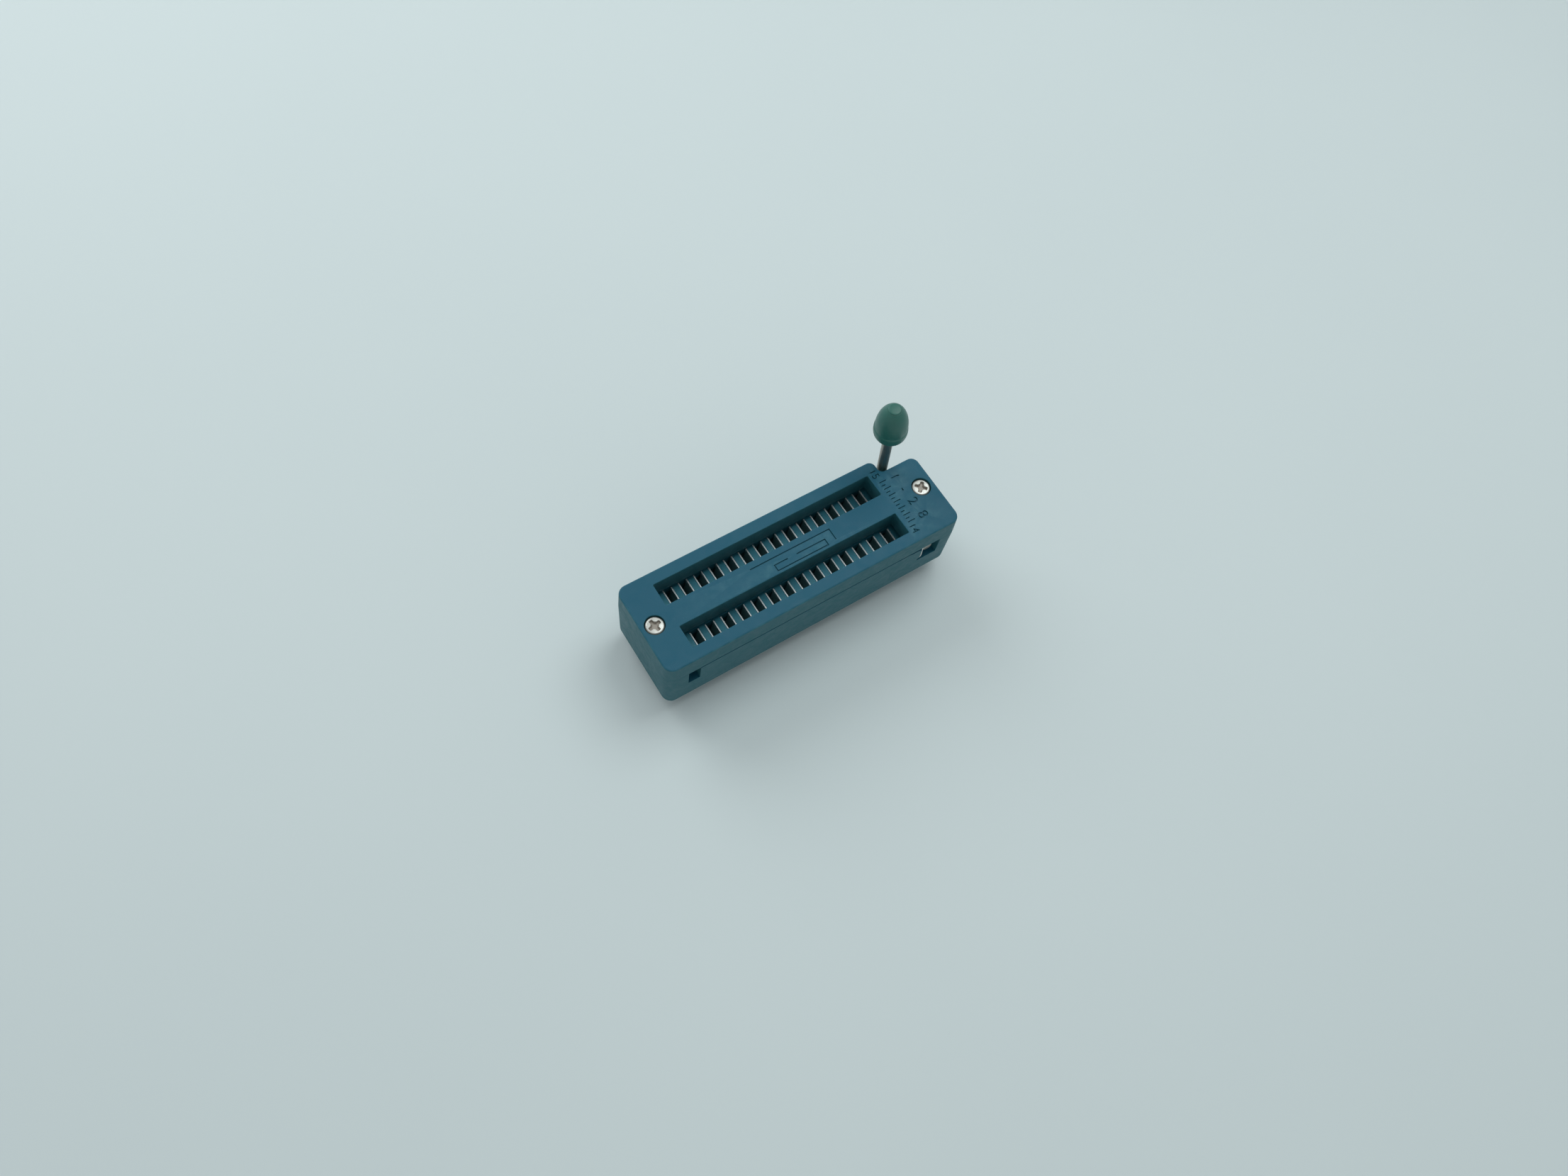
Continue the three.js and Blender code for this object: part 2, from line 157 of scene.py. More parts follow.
def sweptWall(loop, rows, plane="z"):
    # the loop carried along its normal direction: each row moves it outwards by its offset and to its height
    rows = np.array(rows, float)
    flat = loop[None] + rows[:, 0, None, None] * mitredNormals(loop)[None]
    high = np.broadcast_to(rows[:, 1, None], flat.shape[:2])
    grid = np.stack([flat[..., 0], flat[..., 1], high] if plane == "z" else [flat[..., 0], high, flat[..., 1]], -1)
    wearAndHighlight = np.repeat(rows[:, 2], len(loop)) if rows.shape[1] > 2 else np.zeros(grid.shape[0] * grid.shape[1])
    return grid.reshape(-1, 3), gridFaces(*grid.shape[:2]), wearAndHighlight


def gridFaces(rows, columns):
    # quads of a grid that closes on itself along its columns
    index = np.arange(rows * columns).reshape(rows, columns)
    beside = np.roll(index, -1, 1)
    return np.stack([index[:-1], beside[:-1], beside[1:], index[1:]], -1).reshape(-1, 4)


def flatFace(loops, height, plane="z"):
    # a flat face as triangles: what lies inside an odd number of the loops, so that loops in a loop are holes
    sizes = [len(loop) for loop in loops]
    starts = np.cumsum([0] + sizes[:-1])
    edges = np.concatenate([
        start + np.stack([np.arange(size), (np.arange(size) + 1) % size], 1)
        for start, size in zip(starts, sizes)
    ])
    rim = np.concatenate(loops)
    found = delaunay_2d_cdt(rim.tolist(), edges.tolist(), [], 0, 1e-6)
    flat = np.array([tuple(point) for point in found[0]])
    triangles = np.array([list(face) for face in found[2]])
    x, y = flat[triangles].mean(1).T[:, :, None]
    (ax, ay), (bx, by) = rim[edges[:, 0]].T, rim[edges[:, 1]].T
    across = (ay > y) != (by > y)
    crossings = np.sum(across & (x < ax + (bx - ax) * (y - ay) / np.where(by == ay, 1, by - ay)), 1)
    high = np.full(len(flat), float(height))
    points = np.stack([flat[:, 0], flat[:, 1], high] if plane == "z" else [flat[:, 0], high, flat[:, 1]], 1)
    return points, triangles[crossings % 2 == 1], np.zeros(len(flat))


def prism(loop, low, high, radius, plane="z", steps=3, flat=0.015):
    # a solid between two heights with its end edges rounded
    rows = np.vstack([
        roundedEdge(low, radius, -1, 1, steps, flat)[::-1],
        roundedEdge(high, radius, 1, 1, steps, flat),
    ])
    inner = movedOut(loop, -radius - flat)
    return [sweptWall(loop, rows, plane), flatFace([inner], low, plane), flatFace([inner], high, plane)]


def block(loop, low, high, plane):
    # a plain solid between two heights
    wall = sweptWall(loop, [[0, low, 0], [0, high, 0]], plane)
    return [wall, flatFace([loop], low, plane), flatFace([loop], high, plane)]


def turnedWall(profile, x, y, sides):
    # a profile of (radius, height, wear and highlight) turned about an upright axis
    profile = np.array(profile, float)
    turn = np.arange(sides) * 2 * math.pi / sides
    grid = np.stack([
        x + profile[:, 0, None] * np.cos(turn),
        y + profile[:, 0, None] * np.sin(turn),
        np.broadcast_to(profile[:, 1, None], (len(profile), sides)),
    ], -1)
    wearAndHighlight = np.repeat(profile[:, 2], sides) if profile.shape[1] > 2 else np.zeros(len(profile) * sides)
    return grid.reshape(-1, 3), gridFaces(len(profile), sides), wearAndHighlight


def shifted(patches, x):
    return [(points + np.array([x, 0, 0]), faces, wearAndHighlight) for points, faces, wearAndHighlight in patches]


# ---- pieces ----
mergeWithin = 4e-7  # metres: points closer than this are one point


def meshPiece(name, patches, sharpAngle=35):
    # joins the patches, merges their seams and poles, turns the faces outwards
    # and shades them smooth between sharp edges
    points = np.concatenate([patch[0] for patch in patches]) * mm
    starts = np.cumsum([0] + [len(patch[0]) for patch in patches[:-1]])
    faces = [face for start, patch in zip(starts, patches) for face in (patch[1] + start).tolist()]
    mesh = bpy.data.meshes.new(name)
    mesh.from_pydata(points.tolist(), [], faces)
    edgeWearAndHighlight = mesh.attributes.new("edgeWearAndHighlight", "FLOAT", "POINT")
    edgeWearAndHighlight.data.foreach_set("value", np.concatenate([patch[2] for patch in patches]).astype(np.float32))
    piece = bpy.data.objects.new(name, mesh)
    scene.collection.objects.link(piece)
    tidyMesh(mesh, sharpAngle)
    return piece


def tidyMesh(mesh, sharpAngle):
    work = bmesh.new()
    work.from_mesh(mesh)
    bmesh.ops.remove_doubles(work, verts=work.verts, dist=mergeWithin)
    bmesh.ops.dissolve_degenerate(work, edges=work.edges, dist=mergeWithin)
    bmesh.ops.recalc_face_normals(work, faces=work.faces)
    work.to_mesh(mesh)
    work.free()
    mesh.polygons.foreach_set("use_smooth", np.ones(len(mesh.polygons), bool))
    mesh.set_sharp_from_angle(angle=math.radians(sharpAngle))
    mesh.update()


def carve(piece, cutters, sharpAngle=35):
    # takes the volume of each cutter out of the piece, and keeps the result as its mesh
    for number, patches in enumerate(cutters):
        cutter = meshPiece(f"cutter{number}", patches)
        cut = piece.modifiers.new(cutter.name, "BOOLEAN")
        cut.operation, cut.solver, cut.object = "DIFFERENCE", "EXACT", cutter
    whole = bpy.data.meshes.new_from_object(piece.evaluated_get(bpy.context.evaluated_depsgraph_get()))
    for cut in list(piece.modifiers):
        cutter = cut.object
        piece.modifiers.remove(cut)
        bpy.data.objects.remove(cutter)
    piece.data = whole
    tidyMesh(whole, sharpAngle)


def place(piece, body, slot, material, *nodes):
    piece.data.materials.clear()
    piece.data.materials.append(material)
    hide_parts(*nodes)
    if body:
        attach(piece, body)
    return piece


# ---- materials ----
def mouldedPlastic(name, look):
    # matt moulded plastic: slow tone drift, fine mottling, painted reflection and shade on the upright walls, paler
    # rounded edges that are partly rubbing and partly a painted highlight, an uneven sheen and a fine grain
    material = bpy.data.materials.new(name)
    material.use_nodes = True
    nodes, links = material.node_tree.nodes, material.node_tree.links
    nodes.clear()

    placeGroup = nodes.new("NodeFrame")
    placeGroup.label = "where the pattern sits"
    position = nodes.new("ShaderNodeTexCoord")
    position.label = "position on the piece"
    inMillimetres = nodes.new("ShaderNodeMapping")
    inMillimetres.label = "pattern in millimetres"
    inMillimetres.inputs["Scale"].default_value = (1000, 1000, 1000)

    toneGroup = nodes.new("NodeFrame")
    toneGroup.label = "colour of the moulding"
    flow = nodes.new("ShaderNodeTexNoise")
    flow.label = "slow drift of the dye along the flow"
    flow.inputs["Scale"].default_value = 0.16
    flow.inputs["Detail"].default_value = 3
    flow.inputs["Distortion"].default_value = 0.6
    flowTone = nodes.new("ShaderNodeMix")
    flowTone.label = "bluer and greener areas"
    flowTone.data_type = "RGBA"
    flowTone.inputs["A"].default_value = (*look["colour"], 1)
    flowTone.inputs["B"].default_value = (*look["drift"], 1)
    # the upright walls get their own greyer, greener colour: painted reflection of the pale table and painted shade
    facing = nodes.new("ShaderNodeSeparateXYZ")
    facing.label = "which way the surface faces"
    uprightPaintedLightRange = nodes.new("ShaderNodeMapRange")
    uprightPaintedLightRange.label = "upright walls: painted reflection and shade"
    uprightPaintedLightRange.inputs["From Min"].default_value = 0.85
    uprightPaintedLightRange.inputs["From Max"].default_value = 0.35
    uprightPaintedLight = nodes.new("ShaderNodeMix")
    uprightPaintedLight.label = "painted reflection and shade on the upright walls"
    uprightPaintedLight.data_type = "RGBA"
    uprightPaintedLight.inputs["B"].default_value = (*look["wall"], 1)
    mottle = nodes.new("ShaderNodeTexNoise")
    mottle.label = "fine mottling in the resin"
    mottle.inputs["Scale"].default_value = 5.5
    mottle.inputs["Detail"].default_value = 5
    mottle.inputs["Roughness"].default_value = 0.65
    mottleRange = nodes.new("ShaderNodeMapRange")
    mottleRange.label = "how strong the mottling is"
    mottleRange.inputs["To Min"].default_value = 1 - look["mottle"]
    mottleRange.inputs["To Max"].default_value = 1 + look["mottle"]
    mottled = nodes.new("ShaderNodeVectorMath")
    mottled.label = "mottled colour"
    mottled.operation = "SCALE"

    edgeGroup = nodes.new("NodeFrame")
    edgeGroup.label = "rubbed edges and painted highlight"
    edgeWearAndHighlight = nodes.new("ShaderNodeAttribute")
    edgeWearAndHighlight.label = "rounded edges of this piece"
    edgeWearAndHighlight.attribute_name = "edgeWearAndHighlight"
    rubs = nodes.new("ShaderNodeTexNoise")
    rubs.label = "where hands have rubbed"
    rubs.inputs["Scale"].default_value = 0.9
    rubs.inputs["Detail"].default_value = 6
    rubRange = nodes.new("ShaderNodeMapRange")
    rubRange.label = "patches of rubbing"
    rubRange.inputs["From Min"].default_value = 0.42
    rubRange.inputs["From Max"].default_value = 0.68
    rubRange.inputs["To Min"].default_value = 0.25
    rubRange.inputs["To Max"].default_value = 1
    rubAmount = nodes.new("ShaderNodeMath")
    rubAmount.label = "rubbing and painted highlight on the edges only"
    rubAmount.operation = "MULTIPLY"
    rubStrength = nodes.new("ShaderNodeMath")
    rubStrength.label = "how pale the rubbing and painted highlight are"
    rubStrength.operation = "MULTIPLY"
    rubStrength.inputs[1].default_value = look["rub"]
    # the paler edge colour is partly rubbing and partly a painted highlight along the rounded edges
    rubbed = nodes.new("ShaderNodeMix")
    rubbed.label = "paler edge: rubbing and painted highlight"
    rubbed.data_type = "RGBA"
    rubbed.inputs["B"].default_value = (*look["edge"], 1)

    glossGroup = nodes.new("NodeFrame")
    glossGroup.label = "uneven sheen"
    smears = nodes.new("ShaderNodeTexNoise")
    smears.label = "faint smears from handling"
    smears.inputs["Scale"].default_value = 0.55
    smears.inputs["Detail"].default_value = 7
    smears.inputs["Distortion"].default_value = 1.2
    sheenRange = nodes.new("ShaderNodeMapRange")
    sheenRange.label = "matt to slightly shiny"
    sheenRange.inputs["From Min"].default_value = 0.3
    sheenRange.inputs["From Max"].default_value = 0.7
    sheenRange.inputs["To Min"].default_value = look["roughness"][0]
    sheenRange.inputs["To Max"].default_value = look["roughness"][1]

    grainGroup = nodes.new("NodeFrame")
    grainGroup.label = "grain left by the mould"
    grain = nodes.new("ShaderNodeTexNoise")
    grain.label = "spark-eroded mould grain"
    grain.inputs["Scale"].default_value = 14
    grain.inputs["Detail"].default_value = 3
    pits = nodes.new("ShaderNodeTexVoronoi")
    pits.label = "tiny pits"
    pits.inputs["Scale"].default_value = 2.2
    pitRange = nodes.new("ShaderNodeMapRange")
    pitRange.label = "only the pit centres"
    pitRange.inputs["From Min"].default_value = 0.0
    pitRange.inputs["From Max"].default_value = 0.12
    relief = nodes.new("ShaderNodeMath")
    relief.label = "grain and pits together"
    relief.operation = "ADD"
    grainBump = nodes.new("ShaderNodeBump")
    grainBump.label = "height of the grain"
    grainBump.inputs["Strength"].default_value = look["grain"]
    grainBump.inputs["Distance"].default_value = 0.00003

    surface = nodes.new("ShaderNodeBsdfPrincipled")
    surface.label = "moulded plastic"
    surface.inputs["IOR"].default_value = 1.5
    surface.inputs["Specular IOR Level"].default_value = look["gloss"]
    output = nodes.new("ShaderNodeOutputMaterial")
    output.label = "surface to the renderer"

    links.new(position.outputs["Object"], inMillimetres.inputs["Vector"])
    links.new(inMillimetres.outputs["Vector"], flow.inputs["Vector"])
    links.new(inMillimetres.outputs["Vector"], mottle.inputs["Vector"])
    links.new(inMillimetres.outputs["Vector"], rubs.inputs["Vector"])
    links.new(inMillimetres.outputs["Vector"], smears.inputs["Vector"])
    links.new(inMillimetres.outputs["Vector"], grain.inputs["Vector"])
    links.new(inMillimetres.outputs["Vector"], pits.inputs["Vector"])
    links.new(flow.outputs["Fac"], flowTone.inputs["Factor"])
    links.new(mottle.outputs["Fac"], mottleRange.inputs["Value"])
    links.new(position.outputs["Normal"], facing.inputs["Vector"])
    links.new(facing.outputs["Z"], uprightPaintedLightRange.inputs["Value"])
    links.new(uprightPaintedLightRange.outputs["Result"], uprightPaintedLight.inputs["Factor"])
    links.new(flowTone.outputs["Result"], uprightPaintedLight.inputs["A"])
    links.new(uprightPaintedLight.outputs["Result"], mottled.inputs[0])
    links.new(mottleRange.outputs["Result"], mottled.inputs["Scale"])
    links.new(rubs.outputs["Fac"], rubRange.inputs["Value"])
    links.new(edgeWearAndHighlight.outputs["Fac"], rubAmount.inputs[0])
    links.new(rubRange.outputs["Result"], rubAmount.inputs[1])
    links.new(rubAmount.outputs["Value"], rubStrength.inputs[0])
    links.new(rubStrength.outputs["Value"], rubbed.inputs["Factor"])
    links.new(mottled.outputs["Vector"], rubbed.inputs["A"])
    links.new(rubbed.outputs["Result"], surface.inputs["Base Color"])
    links.new(smears.outputs["Fac"], sheenRange.inputs["Value"])
    links.new(sheenRange.outputs["Result"], surface.inputs["Roughness"])
    links.new(grain.outputs["Fac"], relief.inputs[0])
    links.new(pits.outputs["Distance"], pitRange.inputs["Value"])
    links.new(pitRange.outputs["Result"], relief.inputs[1])
    links.new(relief.outputs["Value"], grainBump.inputs["Height"])
    links.new(grainBump.outputs["Normal"], surface.inputs["Normal"])
    links.new(surface.outputs["BSDF"], output.inputs["Surface"])

    groups = {
        placeGroup: [position, inMillimetres],
        toneGroup: [flow, flowTone, facing, uprightPaintedLightRange, uprightPaintedLight, mottle, mottleRange, mottled],
        edgeGroup: [edgeWearAndHighlight, rubs, rubRange, rubAmount, rubStrength, rubbed],
        glossGroup: [smears, sheenRange],
        grainGroup: [grain, pits, pitRange, relief, grainBump],
    }
    arrangeNodes(groups, surface, output)
    return material


def arrangeNodes(groups, surface, output):
    # puts each group of nodes on its own line, with the shader and the output on the right
    for line, (group, members) in enumerate(groups.items()):
        for column, node in enumerate(members):
            node.parent = group
            node.location = (260 * column, -360 * line)
    surface.location = (1900, -400)
    output.location = (2200, -400)


def platedMetal(name, look):
    # drawn or stamped metal: tone patches, fine marks along the working direction, and a darker, duller colour below a
    # height, which on the contacts is painted shade
    material = bpy.data.materials.new(name)
    material.use_nodes = True
    nodes, links = material.node_tree.nodes, material.node_tree.links
    nodes.clear()

    placeGroup = nodes.new("NodeFrame")
    placeGroup.label = "where the pattern sits"
    position = nodes.new("ShaderNodeTexCoord")
    position.label = "position on the piece"
    inMillimetres = nodes.new("ShaderNodeMapping")
    inMillimetres.label = "pattern in millimetres"
    inMillimetres.inputs["Scale"].default_value = (1000, 1000, 1000)
    alongWork = nodes.new("ShaderNodeMapping")
    alongWork.label = "stretched along the working marks"
    alongWork.inputs["Scale"].default_value = [1000 * value for value in look["marks"]]

    toneGroup = nodes.new("NodeFrame")
    toneGroup.label = "colour of the plating"
    patches = nodes.new("ShaderNodeTexNoise")
    patches.label = "uneven plating"
    patches.inputs["Scale"].default_value = look["patch"]
    patches.inputs["Detail"].default_value = 5
    patchTone = nodes.new("ShaderNodeMix")
    patchTone.label = "clean and tarnished metal"
    patchTone.data_type = "RGBA"
    patchTone.inputs["A"].default_value = (*look["colour"], 1)
    patchTone.inputs["B"].default_value = (*look["tarnish"], 1)

    recessGroup = nodes.new("NodeFrame")
    recessGroup.label = "dirt below the surface"
    # below a height the metal is darker and duller; on the contacts this is painted shade of the slot
    height = nodes.new("ShaderNodeSeparateXYZ")
    height.label = "height on the piece"
    depthRange = nodes.new("ShaderNodeMapRange")
    depthRange.label = "clean above, painted shade and dirt below"
    depthRange.inputs["From Min"].default_value = look["shadeAndDirtTop"] * mm
    depthRange.inputs["From Max"].default_value = look["shadeAndDirtBottom"] * mm
    shadedAndDirtied = nodes.new("ShaderNodeMix")
    shadedAndDirtied.label = "metal with dirt in its hollows"
    shadedAndDirtied.data_type = "RGBA"
    shadedAndDirtied.inputs["B"].default_value = (*look["shadeAndDirt"], 1)

    glossGroup = nodes.new("NodeFrame")
    glossGroup.label = "polish"
    marks = nodes.new("ShaderNodeTexNoise")
    marks.label = "drawing and stamping marks"
    marks.inputs["Scale"].default_value = 3
    marks.inputs["Detail"].default_value = 6
    polishRange = nodes.new("ShaderNodeMapRange")
    polishRange.label = "polished to dull"
    polishRange.inputs["From Min"].default_value = 0.3
    polishRange.inputs["From Max"].default_value = 0.7
    polishRange.inputs["To Min"].default_value = look["roughness"][0]
    polishRange.inputs["To Max"].default_value = look["roughness"][1]
    markBump = nodes.new("ShaderNodeBump")
    markBump.label = "depth of the marks"
    markBump.inputs["Strength"].default_value = look["relief"]
    markBump.inputs["Distance"].default_value = 0.00002

    bareRange = nodes.new("ShaderNodeMapRange")
    bareRange.label = "bare metal to dull shade and grime"
    bareRange.inputs["To Min"].default_value = look["metal"][0]
    bareRange.inputs["To Max"].default_value = look["metal"][1]

    surface = nodes.new("ShaderNodeBsdfPrincipled")
    surface.label = "plated metal"
    output = nodes.new("ShaderNodeOutputMaterial")
    output.label = "surface to the renderer"

    links.new(position.outputs["Object"], inMillimetres.inputs["Vector"])
    links.new(position.outputs["Object"], alongWork.inputs["Vector"])
    links.new(inMillimetres.outputs["Vector"], patches.inputs["Vector"])
    links.new(patches.outputs["Fac"], patchTone.inputs["Factor"])
    links.new(position.outputs["Object"], height.inputs["Vector"])
    links.new(height.outputs["Z"], depthRange.inputs["Value"])
    links.new(depthRange.outputs["Result"], shadedAndDirtied.inputs["Factor"])
    links.new(patchTone.outputs["Result"], shadedAndDirtied.inputs["A"])
    links.new(depthRange.outputs["Result"], bareRange.inputs["Value"])
    links.new(bareRange.outputs["Result"], surface.inputs["Metallic"])
    links.new(shadedAndDirtied.outputs["Result"], surface.inputs["Base Color"])
    links.new(alongWork.outputs["Vector"], marks.inputs["Vector"])
    links.new(marks.outputs["Fac"], polishRange.inputs["Value"])
    links.new(polishRange.outputs["Result"], surface.inputs["Roughness"])
    links.new(marks.outputs["Fac"], markBump.inputs["Height"])
    links.new(markBump.outputs["Normal"], surface.inputs["Normal"])
    links.new(surface.outputs["BSDF"], output.inputs["Surface"])

    groups = {
        placeGroup: [position, inMillimetres, alongWork],
        toneGroup: [patches, patchTone],
        recessGroup: [height, depthRange, shadedAndDirtied, bareRange],
        glossGroup: [marks, polishRange, markBump],
    }
    arrangeNodes(groups, surface, output)
    return material


# in each plastic the wall colour is painted reflection and shade on the upright walls, and the edge colour is partly
# rubbing and partly a painted highlight
housingPlastic = mouldedPlastic("housingPlastic", {
    "colour": (0.004, 0.091, 0.154), "drift": (0.006, 0.100, 0.153),
    "wall": (0.019, 0.116, 0.143), "edge": (0.08, 0.23, 0.27),
    "mottle": 0.09, "rub": 0.35, "roughness": (0.42, 0.58), "grain": 0.35, "gloss": 0.32,
})
# the comb is painted much lighter than the housing: painted light standing in for the light its deep windows keep from
# it
combPlasticPaintedLight = mouldedPlastic("combPlasticPaintedLight", {
    "colour": (0.030, 0.215, 0.300), "drift": (0.034, 0.235, 0.310),
    "wall": (0.030, 0.19, 0.25), "edge": (0.08, 0.23, 0.27),
    "mottle": 0.08, "rub": 0.3, "roughness": (0.42, 0.58), "grain": 0.3, "gloss": 0.4,
})
knobPlastic = mouldedPlastic("knobPlastic", {
    "colour": (0.020, 0.122, 0.100), "drift": (0.024, 0.138, 0.108),
    "wall": (0.021, 0.125, 0.103), "edge": (0.07, 0.24, 0.2),
    "mottle": 0.07, "rub": 0.3, "roughness": (0.3, 0.45), "grain": 0.25, "gloss": 0.5,
})
leverSteel = platedMetal("leverSteel", {
    "colour": (0.46, 0.45, 0.42), "tarnish": (0.33, 0.28, 0.23),
    "shadeAndDirt": (0.05, 0.045, 0.04), "shadeAndDirtTop": 5.0, "shadeAndDirtBottom": -20.0,
    "patch": 0.8, "marks": (1.0, 1.0, 0.12), "roughness": (0.3, 0.48), "relief": 0.12, "metal": (1, 0.6),
})
# the screw's head turns darker, browner and duller below its top
screwNickel = platedMetal("screwNickel", {
    "colour": (0.66, 0.66, 0.63), "tarnish": (0.45, 0.44, 0.40),
    "shadeAndDirt": (0.33, 0.29, 0.25), "shadeAndDirtTop": 10.94, "shadeAndDirtBottom": 10.8,
    "patch": 1.6, "marks": (1.0, 1.0, 1.0), "roughness": (0.34, 0.50), "relief": 0.25, "metal": (0.95, 0.3),
})
springSteel = platedMetal("springSteel", {
    "colour": (0.88, 0.88, 0.86), "tarnish": (0.70, 0.69, 0.66),
    "shadeAndDirt": (0.2, 0.19, 0.17), "shadeAndDirtTop": 3.0, "shadeAndDirtBottom": -10.0,
    "patch": 1.1, "marks": (1.0, 0.15, 1.0), "roughness": (0.22, 0.38), "relief": 0.12, "metal": (0.75, 0.5),
})
# below the leaves' bright top edges the tin is painted a dull teal: painted shade of the deep slot
contactTin = platedMetal("contactTin", {
    "colour": (0.94, 0.98, 1.0), "tarnish": (0.90, 0.95, 0.96),
    "shadeAndDirt": (0.20, 0.36, 0.38), "shadeAndDirtTop": 6.25, "shadeAndDirtBottom": 6.17,
    "patch": 1.4, "marks": (1.0, 0.2, 1.0), "roughness": (0.38, 0.52), "relief": 0.12, "metal": (0.08, 0.3),
})
print("socket: finishes made")

# ---- housing: the outline that the base and the cover share ----
housing = {
    "x": 25.0, "y": 7.5, "cornerRadius": 1.6,
    "reliefX": 18.85, "reliefY": 5.1, "reliefInner": 0.7, "reliefOuter": 1.1, "endRadius": 1.3,
    "split": 7.7, "top": 11.1, "topEdge": 0.24, "bottomEdge": 0.15, "partingEdge": 0.04,
    "coverDraft": 0.1, "draftFrom": 0.3, "baseDraft": 0.14,
    "rimDrop": 0.2, "dropLeft": -19.75, "dropFront": 16.55, "dropBack": 16.9, "dropRamp": 0.05,
    "dropStart": 1.0, "dropFull": 0.5, "dropBeyondY": 6.3, "dropRows": (0.6, 0.3),
}
rowY = 3.81
sides = (-1, 1)
contactXs = -0.755 + (np.arange(14) - 6.5) * 2.54


def spanOn(side, span):
    # a span of y carried to the front (-1) or the back (1), its low end first
    return sorted((side * span[0], side * span[1]))


def housingLoop():
    h = housing
    x, y, ramp = h["x"], h["y"], h["dropRamp"]
    return roundedLoop([
        (x, -y, h["cornerRadius"]), (x, h["reliefY"], h["endRadius"]),
        (h["reliefX"], h["reliefY"], h["reliefInner"]), (h["reliefX"], y, h["reliefOuter"]),
        (h["dropBack"] + ramp, y, 0), (h["dropBack"] - ramp, y, 0),
        (h["dropLeft"] + ramp, y, 0), (h["dropLeft"] - ramp, y, 0),
        (-x, y, h["cornerRadius"]), (-x, -y, h["cornerRadius"]),
        (h["dropLeft"] - ramp, -y, 0), (h["dropLeft"] + ramp, -y, 0),
        (h["dropFront"] - ramp, -y, 0), (h["dropFront"] + ramp, -y, 0),
    ], 10)


def rimDropped(patch):
    # the long walls stop a little below the cover: the top of the patch sinks between the two ramps
    points, faces, wearAndHighlight = patch
    h = housing
    left, ramp = h["dropLeft"], h["dropRamp"]
    right = np.where(points[:, 1] < 0, h["dropFront"], h["dropBack"])
    pastLeft = np.clip((points[:, 0] - left + ramp) / (2 * ramp), 0, 1)
    beforeRight = np.clip((right + ramp - points[:, 0]) / (2 * ramp), 0, 1)
    nearTop = np.clip((points[:, 2] - h["split"] + h["dropStart"]) / (h["dropStart"] - h["dropFull"]), 0, 1)
    onWall = np.abs(points[:, 1]) > h["dropBeyondY"]
    lowered = points.copy()
    lowered[:, 2] -= h["rimDrop"] * (pastLeft * beforeRight) * (nearTop * onWall)
    return lowered, faces, wearAndHighlight


# ---- base: the moulded housing that carries the contacts, the slider and the shaft ----
base = {
    "cavityX": (-20.9, 18.15), "cavityY": 6.55, "cavityFloor": 4.85, "cavityRadius": 0.3,
    "pocketHalf": 0.86, "pocketY": (1.45, 6.15), "pocketFloor": 0.9, "pocketRadius": 0.08, "pocketEdge": 0.05,
    "slotHalf": (0.3, 0.2), "slotRadius": 0.05,
    "washX": (-19.6, 18.1), "washHalf": 1.5, "washTop": 0.4, "washRadius": 0.4, "mouthEdge": 0.06,
    "screwX": 22.75, "pilotRadius": 0.8, "pilotFloor": 2.2,
    "shaftX": 20.4, "shaftZ": 5.5, "groove": 0.87, "grooveFront": -6.05, "grooveLap": 0.05,
    "camRoomX": (17.9, 21.4), "camRoomY": (-4.4, 3.5), "camRoomFloor": 4.3, "camRoomRadius": 0.15,
    "sideWindowX": (18.7, 21.8), "sideWindowFloor": 3.9, "sideWindowDepth": 1.5, "windowRadius": 0.12,
    "endWindowX": (-21.5, -19.6), "endWindowFloor": 4.2, "endWindowDepth": 1.6,
    # the clip's seat beside the front window, the slope down from it and the notch under it
    "seatX": 16.45, "seatZ": 7.35, "seatY": -6.0, "seatRadius": 0.04, "seatLap": 0.1,
    "wedgeLength": 1.1, "wedgeDrop": 0.5, "notchLength": 0.35, "notchHeight": 0.55, "notchRadius": 0.05,
    "cutPast": 0.5,
    # two pin pricks in the left end face: their places (y, z), and their profile of (radius, depth)
    "prickAt": ((1.44, 5.3), (-4.06, 5.06)),
    "prick": [(0, 0.12), (0.05, 0.11), (0.13, 0), (0.14, -0.3), (0, -0.3)],
}


